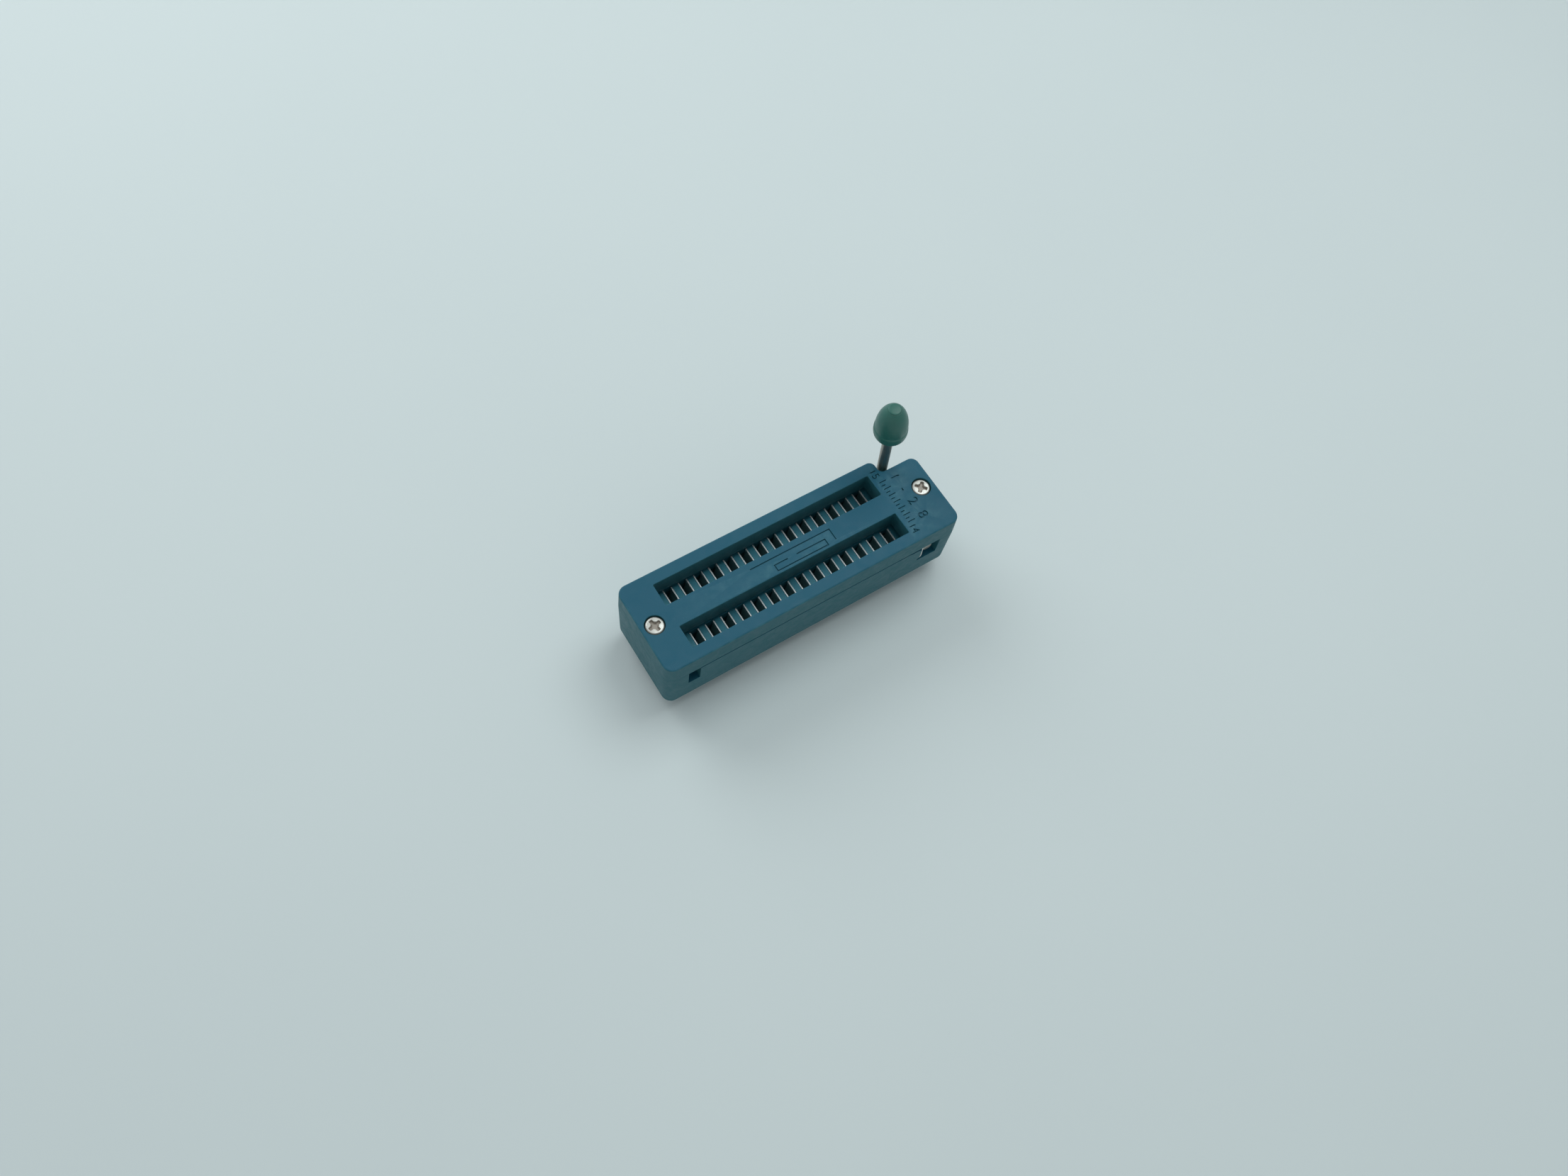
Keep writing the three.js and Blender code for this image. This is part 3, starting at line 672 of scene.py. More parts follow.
def baseShell():
    b, h = base, housing
    outline = housingLoop()
    (x0, x1), y = b["cavityX"], b["cavityY"]
    ramp, left, front, back = h["dropRamp"], h["dropLeft"], h["dropFront"], h["dropBack"]
    radius = b["cavityRadius"]
    cavity = roundedLoop([
        (x1, -y, radius), (x1, y, radius), (back + ramp, y, 0), (back - ramp, y, 0),
        (left + ramp, y, 0), (left - ramp, y, 0), (x0, y, radius), (x0, -y, radius),
        (left - ramp, -y, 0), (left + ramp, -y, 0), (front - ramp, -y, 0), (front + ramp, -y, 0),
    ], 4)
    half = b["pocketHalf"]
    pockets = [
        boxLoop(x - half, x + half, *spanOn(side, b["pocketY"]), b["pocketRadius"])
        for side in sides for x in contactXs
    ]
    wide, deep = b["slotHalf"]
    slots = [
        boxLoop(x - wide, x + wide, side * rowY - deep, side * rowY + deep, b["slotRadius"])
        for side in sides for x in contactXs
    ]
    half = b["washHalf"]
    washes = [boxLoop(*b["washX"], side * rowY - half, side * rowY + half, b["washRadius"]) for side in sides]
    pilots = [circleLoop(side * b["screwX"], 0, b["pilotRadius"], 32) for side in sides]
    edge, bottomEdge, mouthEdge, flat = h["partingEdge"], h["bottomEdge"], b["mouthEdge"], shadeFlat
    # the walls lean in a little towards the underside, as a moulding's do
    foot = roundedEdge(0, bottomEdge, -1, 1)[::-1] - [h["baseDraft"], 0, 0]
    dropRows = [[0, h["split"] - depth, 0] for depth in h["dropRows"]]
    outerRows = np.vstack([foot, dropRows, roundedEdge(h["split"], edge, 1, 1, 3)])
    cavityRows = np.vstack([
        roundedEdge(h["split"], edge, 1, -1, 3)[::-1], dropRows[:1], [[0, b["cavityFloor"], 0]],
    ])
    pocketRows = np.vstack([roundedEdge(b["cavityFloor"], b["pocketEdge"], 1, -1, 2)[::-1], [[0, b["pocketFloor"], 0]]])
    washRows = np.vstack([[[0, b["washTop"], 0]], roundedEdge(0, mouthEdge, -1, -1, 2)])
    pilotRows = np.vstack([roundedEdge(h["split"], mouthEdge, 1, -1, 2)[::-1], [[0, b["pilotFloor"], 0]]])
    patches = [
        rimDropped(sweptWall(outline, outerRows)),
        rimDropped(sweptWall(cavity, cavityRows)),
        rimDropped(flatFace([movedOut(outline, -edge - flat), movedOut(cavity, edge + flat)]
                            + [movedOut(loop, mouthEdge + flat) for loop in pilots], h["split"])),
        flatFace([movedOut(outline, -bottomEdge - flat - h["baseDraft"])]
                 + [movedOut(loop, mouthEdge + flat) for loop in washes], 0),
        flatFace([cavity] + [movedOut(loop, b["pocketEdge"] + flat) for loop in pockets], b["cavityFloor"]),
    ]
    for wash, row in zip(washes, (slots[:14], slots[14:])):
        patches += [sweptWall(wash, washRows), flatFace([wash] + row, b["washTop"])]
    for pocket, slot in zip(pockets, slots):
        patches += [
            sweptWall(pocket, pocketRows), flatFace([pocket, slot], b["pocketFloor"]),
            sweptWall(slot, [[0, b["pocketFloor"], 0], [0, b["washTop"], 0]]),
        ]
    for pilot in pilots:
        patches += [sweptWall(pilot, pilotRows), flatFace([pilot], b["pilotFloor"])]
    return meshPiece("socketBase", patches)


def wallOpening(loop, side, depth, flare=0.07):
    # a window through a long wall: straight inside, with a small slope where it meets the outer face
    y = housing["y"]
    rows = np.array([[0, y - depth, 0], [0, y - flare, 0], [flare, y, 0], [flare, y + 1, 0]])
    rows[:, 1] *= side
    ends = flatFace([loop], side * (y - depth), "y"), flatFace([movedOut(loop, flare)], side * (y + 1), "y")
    return [sweptWall(loop, rows, "y"), *ends]


def windowLoop(x0, x1, floor, up):
    # an opening with rounded lower corners and its top left open
    radius = base["windowRadius"]
    return roundedLoop([(x0, floor, radius), (x1, floor, radius), (x1, up, 0), (x0, up, 0)])


def baseCutters():
    b = base
    up = housing["split"] + 1
    (wx0, wx1), (ex0, ex1) = b["sideWindowX"], b["endWindowX"]
    (cx0, cx1), (cy0, cy1) = b["camRoomX"], b["camRoomY"]
    x, z, r = b["shaftX"], b["shaftZ"], b["groove"]
    room = boxLoop(cx0, cx1, cy0, cy1, b["camRoomRadius"])
    turn = np.linspace(math.pi, 2 * math.pi, 17)
    groove = np.vstack([np.stack([x + r * np.cos(turn), z + r * np.sin(turn)], 1), [[x + r, up], [x - r, up]]])
    seatX, seatZ, right = b["seatX"], b["seatZ"], wx0 + b["seatLap"]
    seat = roundedLoop([(seatX, seatZ, b["seatRadius"]), (right, seatZ, 0), (right, up, 0), (seatX, up, 0)])
    seatUp = seatZ + b["seatLap"]
    wedge = np.array([[wx0 - b["wedgeLength"], seatUp], [right, seatZ - b["wedgeDrop"]], [right, seatUp]])
    floor = b["sideWindowFloor"]
    notch = boxLoop(wx0 - b["notchLength"], right, floor, floor + b["notchHeight"], b["notchRadius"])
    front, back = -housing["y"], housing["y"]
    outside = front - b["cutPast"]
    cutters = [
        block(room, b["camRoomFloor"], up, "z"),
        block(groove, b["grooveFront"] - b["grooveLap"], back + b["cutPast"], "y"),
        wallOpening(windowLoop(wx0, wx1, floor, up), -1, b["sideWindowDepth"]),
        block(seat, outside, b["seatY"], "y"),
        block(wedge, outside, b["seatY"], "y"),
        block(notch, outside, front + b["sideWindowDepth"] - b["grooveLap"], "y"),
    ]
    for side in sides:
        cutters.append(wallOpening(windowLoop(ex0, ex1, b["endWindowFloor"], up), side, b["endWindowDepth"]))
    for y, z in b["prickAt"]:
        # the profile's own axis is laid over, so that it runs into the end face
        points, faces, wearAndHighlight = turnedWall(b["prick"], 0, 0, 12)
        points = np.stack([points[:, 2] - housing["x"], points[:, 0] + y, points[:, 1] + z], 1)
        cutters.append([(points, faces, wearAndHighlight)])
    return cutters


basePiece = baseShell()
carve(basePiece, baseCutters())
place(basePiece, "base", "housing", housingPlastic, "base")
print("socket: base moulded,", len(basePiece.data.polygons), "faces")

# ---- cover: the moulded top plate with its two windows, engraved numbers and screw seats ----
cover = {
    "windowX": (-19.9, 16.7), "windowY": (1.83, 5.47), "windowRadius": 0.16, "windowEdge": 0.1, "lowerEdge": 0.05,
    "seatRadius": 1.5, "seatFloor": 10.0, "seatEdge": 0.06, "holeRadius": 0.9,
    "ribHalf": 0.7, "ribBottom": 6.42, "ribs": ((-5.85, -4.55), (3.65, 4.95)), "ribRadius": 0.15, "ribEdge": 0.08,
    "markDepth": 0.2, "markSlope": 0.02, "lineWidth": 0.17, "lineEnd": 0.04,
    # each number's text, size and letter spacing, and the place of its middle (x, y)
    "numbers": (("1-28", 2.25, 2.3, 20.28, -0.5), ("14", 1.7, 1, 17.75, -5.4), ("15", 1.7, 1, 17.75, 5.1)),
    "numberTurn": -90,
    "bracket": [(-6.8, 0.75), (6.65, 0.75), (6.65, -1.1)],
    "chip": [(-1.2, -0.35), (-3.4, -0.35), (-3.4, -1.35), (5.2, -1.35), (5.2, -0.35), (0.4, -0.35)],
    "scale": {"marks": 13, "from": -4.0, "step": 0.63, "left": 17.55, "long": 18.75, "short": 18.2,
              "half": 0.07, "radius": 0.03},
}


def glyphLoops(text, size, spacing, x, y, turn):
    # outlines of generic numbers from the built-in type, centred on a point and turned in the plane of the cover
    curve = bpy.data.curves.new("marks", "FONT")
    curve.body, curve.size, curve.space_character = text, size, spacing
    typed = bpy.data.objects.new("marks", curve)
    scene.collection.objects.link(typed)
    outline = typed.to_curve(bpy.context.evaluated_depsgraph_get())
    t = (np.arange(5) / 5)[None, :, None]
    loops = []
    for spline in outline.splines:
        count = len(spline.bezier_points)
        held, left, right = (np.empty(count * 3) for _ in range(3))
        spline.bezier_points.foreach_get("co", held)
        spline.bezier_points.foreach_get("handle_left", left)
        spline.bezier_points.foreach_get("handle_right", right)
        a, b = held.reshape(-1, 1, 3), right.reshape(-1, 1, 3)
        c, d = np.roll(left.reshape(-1, 1, 3), -1, 0), np.roll(a, -1, 0)
        bend = a * (1 - t) ** 3 + 3 * b * t * (1 - t) ** 2 + 3 * c * t**2 * (1 - t) + d * t**3
        loops.append(bend.reshape(-1, 3)[:, :2])
    typed.to_curve_clear()
    bpy.data.objects.remove(typed)
    every = np.concatenate(loops)
    middle = (every.min(0) + every.max(0)) / 2
    spin = math.radians(turn)
    matrix = np.array([[math.cos(spin), math.sin(spin)], [-math.sin(spin), math.cos(spin)]])
    area = sum(np.sum(l[:, 0] * np.roll(l[:, 1], -1) - l[:, 1] * np.roll(l[:, 0], -1)) for l in loops)
    order = 1 if area > 0 else -1
    return [thinned(((loop - middle) @ matrix + (x, y))[::order]) for loop in loops]


def thinned(loop, least=0.045):
    # drops points closer together than the least distance
    keep = np.linalg.norm(loop - np.roll(loop, 1, 0), axis=1) > least
    return loop[keep]


def coverMarks():
    # generic marks: pin numbers at the ends of the two rows, a large pin range, a bracket line, a chip's outline
    # that is open in one long side, and a plain scale between the pin numbers with long and short marks in turn
    marks, c, scale = [], cover, cover["scale"]
    for text, size, spacing, x, y in c["numbers"]:
        marks += glyphLoops(text, size, spacing, x, y, c["numberTurn"])
    for line in (c["bracket"], c["chip"]):
        marks.append(stripLoop(line, c["lineWidth"], c["lineEnd"], 2))
    for step in range(scale["marks"]):
        y = scale["from"] + scale["step"] * step
        right = scale["short"] if step % 2 else scale["long"]
        marks.append(boxLoop(scale["left"], right, y - scale["half"], y + scale["half"], scale["radius"], 1))
    return marks


def coverShell():
    c, h = cover, housing
    outline = housingLoop()
    windows = [boxLoop(*c["windowX"], *spanOn(side, c["windowY"]), c["windowRadius"], 4) for side in sides]
    seats = [circleLoop(side * base["screwX"], 0, c["seatRadius"], 56) for side in sides]
    holes = [circleLoop(side * base["screwX"], 0, c["holeRadius"], 40) for side in sides]
    x = base["shaftX"]
    ribs = [boxLoop(x - c["ribHalf"], x + c["ribHalf"], y0, y1, c["ribRadius"]) for y0, y1 in c["ribs"]]
    marks = coverMarks()
    flat, split, top = shadeFlat, h["split"], h["top"]
    windowEdge, topEdge, edge = c["windowEdge"], h["topEdge"], h["partingEdge"]
    lowerEdge, seatEdge, ribEdge = c["lowerEdge"], c["seatEdge"], c["ribEdge"]
    slope, floor = c["markSlope"], top - c["markDepth"]
    rim = roundedEdge(top, topEdge, 1, 1, 7) - [h["coverDraft"], 0, 0]
    outerRows = np.vstack([roundedEdge(split, edge, -1, 1, 3)[::-1], [[0, split + h["draftFrom"], 0]], rim])
    walls = [
        sweptWall(outline, outerRows),
        flatFace([movedOut(outline, -topEdge - flat - h["coverDraft"])]
                 + [movedOut(loop, windowEdge + flat) for loop in windows]
                 + [movedOut(loop, seatEdge + flat) for loop in seats]
                 + [movedOut(loop, slope) for loop in marks], top),
        flatFace([movedOut(outline, -edge - flat)]
                 + [movedOut(loop, lowerEdge + flat) for loop in windows] + holes + ribs, split),
    ]
    for window in windows:
        walls.append(sweptWall(window, np.vstack([
            roundedEdge(top, windowEdge, 1, -1, 4)[::-1], roundedEdge(split, lowerEdge, -1, -1, 2)])))
    for seat, hole in zip(seats, holes):
        walls += [
            sweptWall(seat, np.vstack([roundedEdge(top, seatEdge, 1, -1, 3)[::-1], [[0, c["seatFloor"], 0]]])),
            flatFace([seat, hole], c["seatFloor"]),
            sweptWall(hole, [[0, c["seatFloor"], 0], [0, split, 0]]),
        ]
    for rib in ribs:
        rows = np.vstack([[[0, split, 0]], roundedEdge(c["ribBottom"], ribEdge, -1, 1, 2)])
        walls += [sweptWall(rib, rows), flatFace([movedOut(rib, -ribEdge - flat)], c["ribBottom"])]
    for loop in marks:
        # the marks' top rims take the full paleness of a rounded edge: a painted highlight along the letters' edges
        walls.append(sweptWall(loop, [[slope, top, 1], [0, top - slope, 0.5], [0, floor, 0]]))
    walls.append(flatFace(marks, floor))
    return meshPiece("socketCover", walls)


coverPiece = coverShell()
place(coverPiece, "base", "housing", housingPlastic, "cover")
print("socket: cover moulded,", len(coverPiece.data.polygons), "faces")

# ---- slider: the comb that pushes one leaf of every contact ----
slider = {
    "x": (-20.2, 17.7), "y": 6.4, "z": (4.95, 6.25), "cornerRadius": 0.2, "edge": 0.06,
    "tongueX": 20.15, "tongueY": 2.8, "tongueRoot": 0.15, "tongueRadius": 0.12,
    "openingHalf": 0.8, "openingY": (1.5, 6.1), "openingRadius": 0.1,
}


def sliderComb():
    s = slider
    (x0, x1), (z0, z1), y, edge = s["x"], s["z"], s["y"], s["edge"]
    tongueX, tongueY, radius = s["tongueX"], s["tongueY"], s["cornerRadius"]
    outline = roundedLoop([
        (x1, -y, radius), (x1, -tongueY, s["tongueRoot"]),
        (tongueX, -tongueY, s["tongueRadius"]), (tongueX, tongueY, s["tongueRadius"]),
        (x1, tongueY, s["tongueRoot"]), (x1, y, radius), (x0, y, radius), (x0, -y, radius),
    ])
    half = s["openingHalf"]
    openings = [
        boxLoop(x - half, x + half, *spanOn(side, s["openingY"]), s["openingRadius"])
        for side in sides for x in contactXs
    ]
    outerRows = np.vstack([roundedEdge(z0, edge, -1, 1, 3)[::-1], roundedEdge(z1, edge, 1, 1, 3)])
    openingRows = np.vstack([roundedEdge(z1, edge, 1, -1, 3)[::-1], roundedEdge(z0, edge, -1, -1, 3)])
    patches = [sweptWall(outline, outerRows)] + [sweptWall(loop, openingRows) for loop in openings]
    face = [movedOut(outline, -edge - shadeFlat)] + [movedOut(loop, edge + shadeFlat) for loop in openings]
    patches += [flatFace(face, z0), flatFace(face, z1)]
    return meshPiece("comb", patches)


place(sliderComb(), "slider", "comb", combPlasticPaintedLight, "slider")

# ---- contacts: a strip bent into two upright leaves, with a tail for the board's hole ----
contact = {
    "leaf": [(0.67, 6.25), (0.665, 5.6), (0.66, 5.0), (0.44, 3.4), (0.44, 3.1), (0.6, 2.0), (0.42, 1.17)],
    "bottom": (0, 1.05), "thickness": 0.2, "y": (1.6, 6.0), "edge": 0.045, "rimBulge": 0.05,
    "tail": [(-0.25, 1.05, 0), (-0.25, -2.95, 0.12), (-0.125, -3.3, 0.05),
             (0.125, -3.3, 0.05), (0.25, -2.95, 0.12), (0.25, 1.05, 0)],
    "tailHalf": 0.15, "tailEdge": 0.03, "bendAlong": (1, 0, 0.15), "bendFrom": 0.6, "bendTo": 1.45,
}


def contactPatches():
    k = contact
    mirrored = [(-x, z) for x, z in reversed(k["leaf"])]
    strip = stripLoop(smoothLine(k["leaf"] + [k["bottom"]] + mirrored, 4), k["thickness"], k["rimBulge"])
    tail, half = roundedLoop(k["tail"], 3), k["tailHalf"]
    return prism(strip, *k["y"], k["edge"], "y") + prism(tail, rowY - half, rowY + half, k["tailEdge"], "y", 2)


strips = contactPatches()
for row, side in (("front", -1), ("back", 1)):
    for number, x in enumerate(contactXs):
        mirroredRow = [(points * (1, side, 1), faces, wearAndHighlight) for points, faces, wearAndHighlight in strips]
        piece = meshPiece(f"contactStrip_{row}_{number + 1:02d}", shifted(mirroredRow, x))
        place(piece, None, "contact_tin", contactTin, f"contact_{row}_{number + 1:02d}")
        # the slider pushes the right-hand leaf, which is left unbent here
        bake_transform(piece)
print("socket: comb and 28 contacts made")

# ---- retainer clip: a folded strip under the cover, with a tab in the shaft's ring groove ----
clip = {
    "line": [(16.53, 7.55), (17.6, 7.55), (18.35, 7.55), (18.62, 7.52), (18.8, 7.38), (18.88, 7.12), (18.97, 6.0),
             (19.06, 4.8), (19.04, 4.5), (18.92, 4.27), (18.75, 4.14), (18.54, 4.1)],
    "thickness": 0.2, "y": (-7.3, -6.05), "edge": 0.02, "endBulge": 0.09,
    "tabX": (19.0, 19.95), "tabZ": (5.1, 5.9), "tabY": (-6.53, -6.37), "tabRadius": 0.08, "tabEdge": 0.03,
}
stripe = stripLoop(smoothLine(clip["line"], 3), clip["thickness"], clip["endBulge"])
tab = boxLoop(*clip["tabX"], *clip["tabZ"], clip["tabRadius"], 2)
clipPatches = prism(stripe, *clip["y"], clip["edge"], "y") + prism(tab, *clip["tabY"], clip["tabEdge"], "y", 2)
clipPiece = meshPiece("clipStrip", clipPatches)
place(clipPiece, "base", "spring_steel", springSteel, "retainer_clip")

# ---- lever: one wire, bent up beside the body, with a cam coined into its shaft ----
lever = {
    "axis": (20.4, 5.5), "radius": 0.8, "front": -6.9, "armY": 6.2, "bend": 1.1, "top": 18.5, "lean": 4,
    "sides": 72, "groove": (-6.6, -6.3), "grooveRadius": 0.4, "step": 0.015,
    "camHalf": 3.1, "camShoulder": 0.2, "camRound": 0.79, "camLow": 0.2, "camRise": 0.319, "camSwing": 95,
    "plainFront": (-6.0, -4.8), "plainBack": 4.4, "bendSwell": 0.025,
    # the shaft's rounded end as (distance from its face, radius), and the arm's as (depth, loss of radius)
    "nose": ((0, 0), (0, 0.62), (0.03, 0.72), (0.09, 0.78), (0.15, 0.8)),
    "armFrom": 0.2, "armEnd": ((0.12, 0.02), (0.04, 0.09), (0, 0.22)),
}


def camReach(polar):
    # distance from the axis to the cam's edge: the least over its tangents, which lie evenly further out as they turn
    v = lever
    grow = np.radians(np.linspace(0, v["camSwing"], 60))
    facing = math.pi + grow - math.radians(v["lean"])
    share = np.cos(polar[:, None] - facing)
    least = 0.05  # below this share a tangent meets the ray too far out to matter
    reach = np.where(share > least, (v["camLow"] + v["camRise"] * grow) / np.maximum(share, least), 9)
    return np.minimum(v["camRound"], reach.min(1))


def leanedOver(points):
    # from the lever's own upright axes to its place in the body
    v = lever
    lean = math.radians(v["lean"])
    x, y, z = points.T
    return np.stack([
        x * math.cos(lean) - z * math.sin(lean) + v["axis"][0], y,
        x * math.sin(lean) + z * math.cos(lean) + v["axis"][1]], 1)


def leverWire():
    # a circle carried along the shaft, round the bend and up the arm, its radius changing at the groove and the cam;
    # each station is (y, angle round the bend, radius), and a radius of -1 stands for the cam's own outline
    v = lever
    r, lap = v["radius"], v["step"]
    turn = np.arange(v["sides"]) * 2 * math.pi / v["sides"]
    camRadii = camReach(-turn)
    stations = [(v["front"] + distance, 0, radius) for distance, radius in v["nose"]]
    g0, g1 = v["groove"]
    stations += [(g0, 0, r), (g0 + lap, 0, v["grooveRadius"]), (g1 - lap, 0, v["grooveRadius"]), (g1, 0, r)]
    half, shoulder = v["camHalf"], v["camShoulder"]
    stations += [(y, 0, r) for y in (*v["plainFront"], -half - shoulder, -half - lap)]
    stations += [(y, 0, -1) for y in np.linspace(-half, half, 9)]
    stations += [(y, 0, r) for y in (half + lap, half + shoulder, v["plainBack"])]
    bendY, swell = v["armY"] - v["bend"], v["bendSwell"]
    for angle in np.linspace(0, 90, 19):
        stations.append((bendY, angle, r * (1 + swell * math.sin(2 * math.radians(angle)))))
    heights = np.linspace(v["bend"], v["top"] - v["armFrom"], 12)[1:]
    grid = []
    for y, angle, radius in stations:
        beta = math.radians(angle)
        centre = np.array([0, y + v["bend"] * math.sin(beta), v["bend"] * (1 - math.cos(beta))])
        side = np.array([0, math.sin(beta), -math.cos(beta)])
        reach = camRadii if radius < 0 else np.full(len(turn), float(radius))
        right, up = (reach * np.cos(turn))[:, None], (reach * np.sin(turn))[:, None]
        grid.append(centre + right * np.array([1, 0, 0]) + up * side)
    rings = [(z, r) for z in heights] + [(v["top"] - depth, r - loss) for depth, loss in v["armEnd"]]
    for z, radius in rings + [(v["top"], 0)]:
        grid.append(np.stack([radius * np.cos(turn), v["armY"] + radius * np.sin(turn), np.full(len(turn), z)], 1))
    points = np.concatenate(grid)
    return points, gridFaces(len(grid), len(turn)), np.zeros(len(points))


points, faces, wearAndHighlight = leverWire()
place(meshPiece("leverWire", [(leanedOver(points), faces, wearAndHighlight)], 40), "lever", "lever_steel", leverSteel, "lever")

# ---- knob: a turned cap with a blind bore, pushed over the arm ----
knob = {
    "bore": [(0, 18.7), (0.85, 18.7), (0.85, 13.72), (0.9, 13.63), (0.97, 13.6)],
    "skirt": [(1.2, 13.6), (1.5, 13.66), (1.87, 13.87), (2.2, 14.22), (2.42, 14.68), (2.51, 15.2)],
    "wall": [(2.51, 15.5), (2.505, 15.78), (2.49, 15.93), (2.43, 16.08), (2.405, 16.18), (2.4, 16.35)],
    "domeRadius": 2.4, "domeFoot": 16.4, "domeFrom": 0.2, "domeHeight": 4.5, "domeEnd": 20.42,
    "ring": [(1.06, 20.44), (1.03, 20.43), (0.99, 20.44), (0.96, 20.5), (0.93, 20.59), (0.88, 20.63),
             (0.76, 20.66), (0.4, 20.69), (0, 20.7)],
    # where hands rub, outside the bore: (height, width, strength)
    "rubbed": ((16.0, 0.12, 0.9), (20.6, 0.06, 0.8)), "boreLimit": 0.86,
}


def knobCap():
    k = knob
    # the dome is half of an ellipsoid: its radius is the circle's share left at that share of its height
    heights = np.linspace(k["domeFoot"] + k["domeFrom"], k["domeEnd"], 26)
    radii = k["domeRadius"] * np.sqrt(1 - ((heights - k["domeFoot"]) / k["domeHeight"]) ** 2)
    dome = np.column_stack([radii, heights])
    lines = [np.array(k["bore"]), smoothLine(k["skirt"], 4), np.array(k["wall"]), dome, np.array(k["ring"])]
    profile = np.vstack(lines)
    wearAndHighlight = np.zeros(len(profile))
    for height, width, strength in k["rubbed"]:
        wearAndHighlight += strength * np.exp(-((profile[:, 1] - height) / width) ** 2)
    wearAndHighlight *= profile[:, 0] > k["boreLimit"]
    points, faces, wearAndHighlight = turnedWall(np.column_stack([profile, wearAndHighlight]), 0, lever["armY"], 96)
    return meshPiece("knobCap", [(leanedOver(points), faces, wearAndHighlight)], 40)


place(knobCap(), "lever", "knob_plastic", knobPlastic, "knob")
print("socket: lever and knob made")

# ---- screws: a domed cross-recessed head on a threaded shank ----
screw = {
    "sides": 36, "tip": 2.6, "tipLength": 0.8, "tipShare": 0.5, "shankTop": 0.6,
    "shankRadius": 0.75, "rootRadius": 0.58, "pitch": 0.45, "rowsInPitch": 7, "crest": 1.6, "flank": 3.2,
    "headRadius": 1.38, "headTop": 11.0, "headSeat": 10.05, "headFoot": 0.5, "seatFillet": 0.02, "rimEdge": 0.05,
    "rimTop": 0.36, "crownFoot": 0.3, "crownWide": 0.28, "crownHigh": 0.25,
    "domeFall": 0.05, "domeRadius": 1.1, "domeRows": (1.08, 0.9, 0.7, 0.5, 0.3, 0.15, 0),
    "crossLong": 0.98, "crossHalf": 0.27, "crossDepth": 0.42, "outerRadius": 0.14, "innerRadius": 0.1,
    "hub": 0.6, "hubDeeper": 0.02, "cutUp": 0.4,
    # rows of (offset, depth) down each recess, whose last depth is its floor
    "crossRows": ((0.06, 0), (0.0, 0.07)), "crossFloor": -0.1,
    "hubRows": ((0, 0.1),), "hubFloor": -0.2,
    "turns": {"left": 12, "right": 43},
}


def threadedShank(around):
    # the radius rises and falls once a pitch, shifted by the angle so that the crest winds round
    s = screw
    heights = np.arange(s["tip"], s["headSeat"] - s["shankTop"], s["pitch"] / s["rowsInPitch"])
    phase = (heights[:, None] / s["pitch"] - around[None] / (2 * math.pi)) % 1
    ridge = np.clip(s["crest"] - s["flank"] * np.abs(phase - 0.5), 0, 1)
    taper = np.clip((heights - s["tip"]) / s["tipLength"], 0, 1)[:, None]
    narrowed = s["tipShare"] + (1 - s["tipShare"]) * taper
    radius = (s["rootRadius"] + (s["shankRadius"] - s["rootRadius"]) * ridge) * narrowed
    high = np.broadcast_to(heights[:, None], radius.shape)
    return np.stack([radius * np.cos(around), radius * np.sin(around), high], -1)


def screwHead(around):
    # from the root up: the underside, the rim, the rounded shoulder and the slightly domed top
    s = screw
    root, rim, top, seat = s["rootRadius"], s["headRadius"], s["headTop"], s["headSeat"]
    fillet, edge, wide = s["seatFillet"], s["rimEdge"], s["crownWide"]
    rows = [
        (root, seat - s["headFoot"]), (root, seat - fillet), (root + fillet, seat),
        (rim - edge, seat), (rim, seat + edge), (rim, top - s["rimTop"]),
    ]
    for angle in np.linspace(0, math.pi / 2, 7)[:-1]:
        rows.append((rim - wide + wide * math.cos(angle), top - s["crownFoot"] + s["crownHigh"] * math.sin(angle)))
    rows += [(radius, top - s["domeFall"] * (radius / s["domeRadius"]) ** 2) for radius in s["domeRows"]]
    rows = np.array(rows)
    radius, high = rows[:, 0, None], np.broadcast_to(rows[:, 1, None], (len(rows), len(around)))
    return np.stack([radius * np.cos(around), radius * np.sin(around), high], -1)


def recess(loop, rows, floorOffset, depth):
    # a blind hole in the top of the head that narrows downwards
    top = screw["headTop"]
    up, floor, mouth = top + screw["cutUp"], top - depth, rows[0][0]
    levels = [[mouth, up, 0]] + [[offset, top - below, 0] for offset, below in rows] + [[floorOffset, floor, 0]]
    lid, bottom = flatFace([movedOut(loop, mouth)], up), flatFace([movedOut(loop, floorOffset)], floor)
    return [sweptWall(loop, levels), lid, bottom]


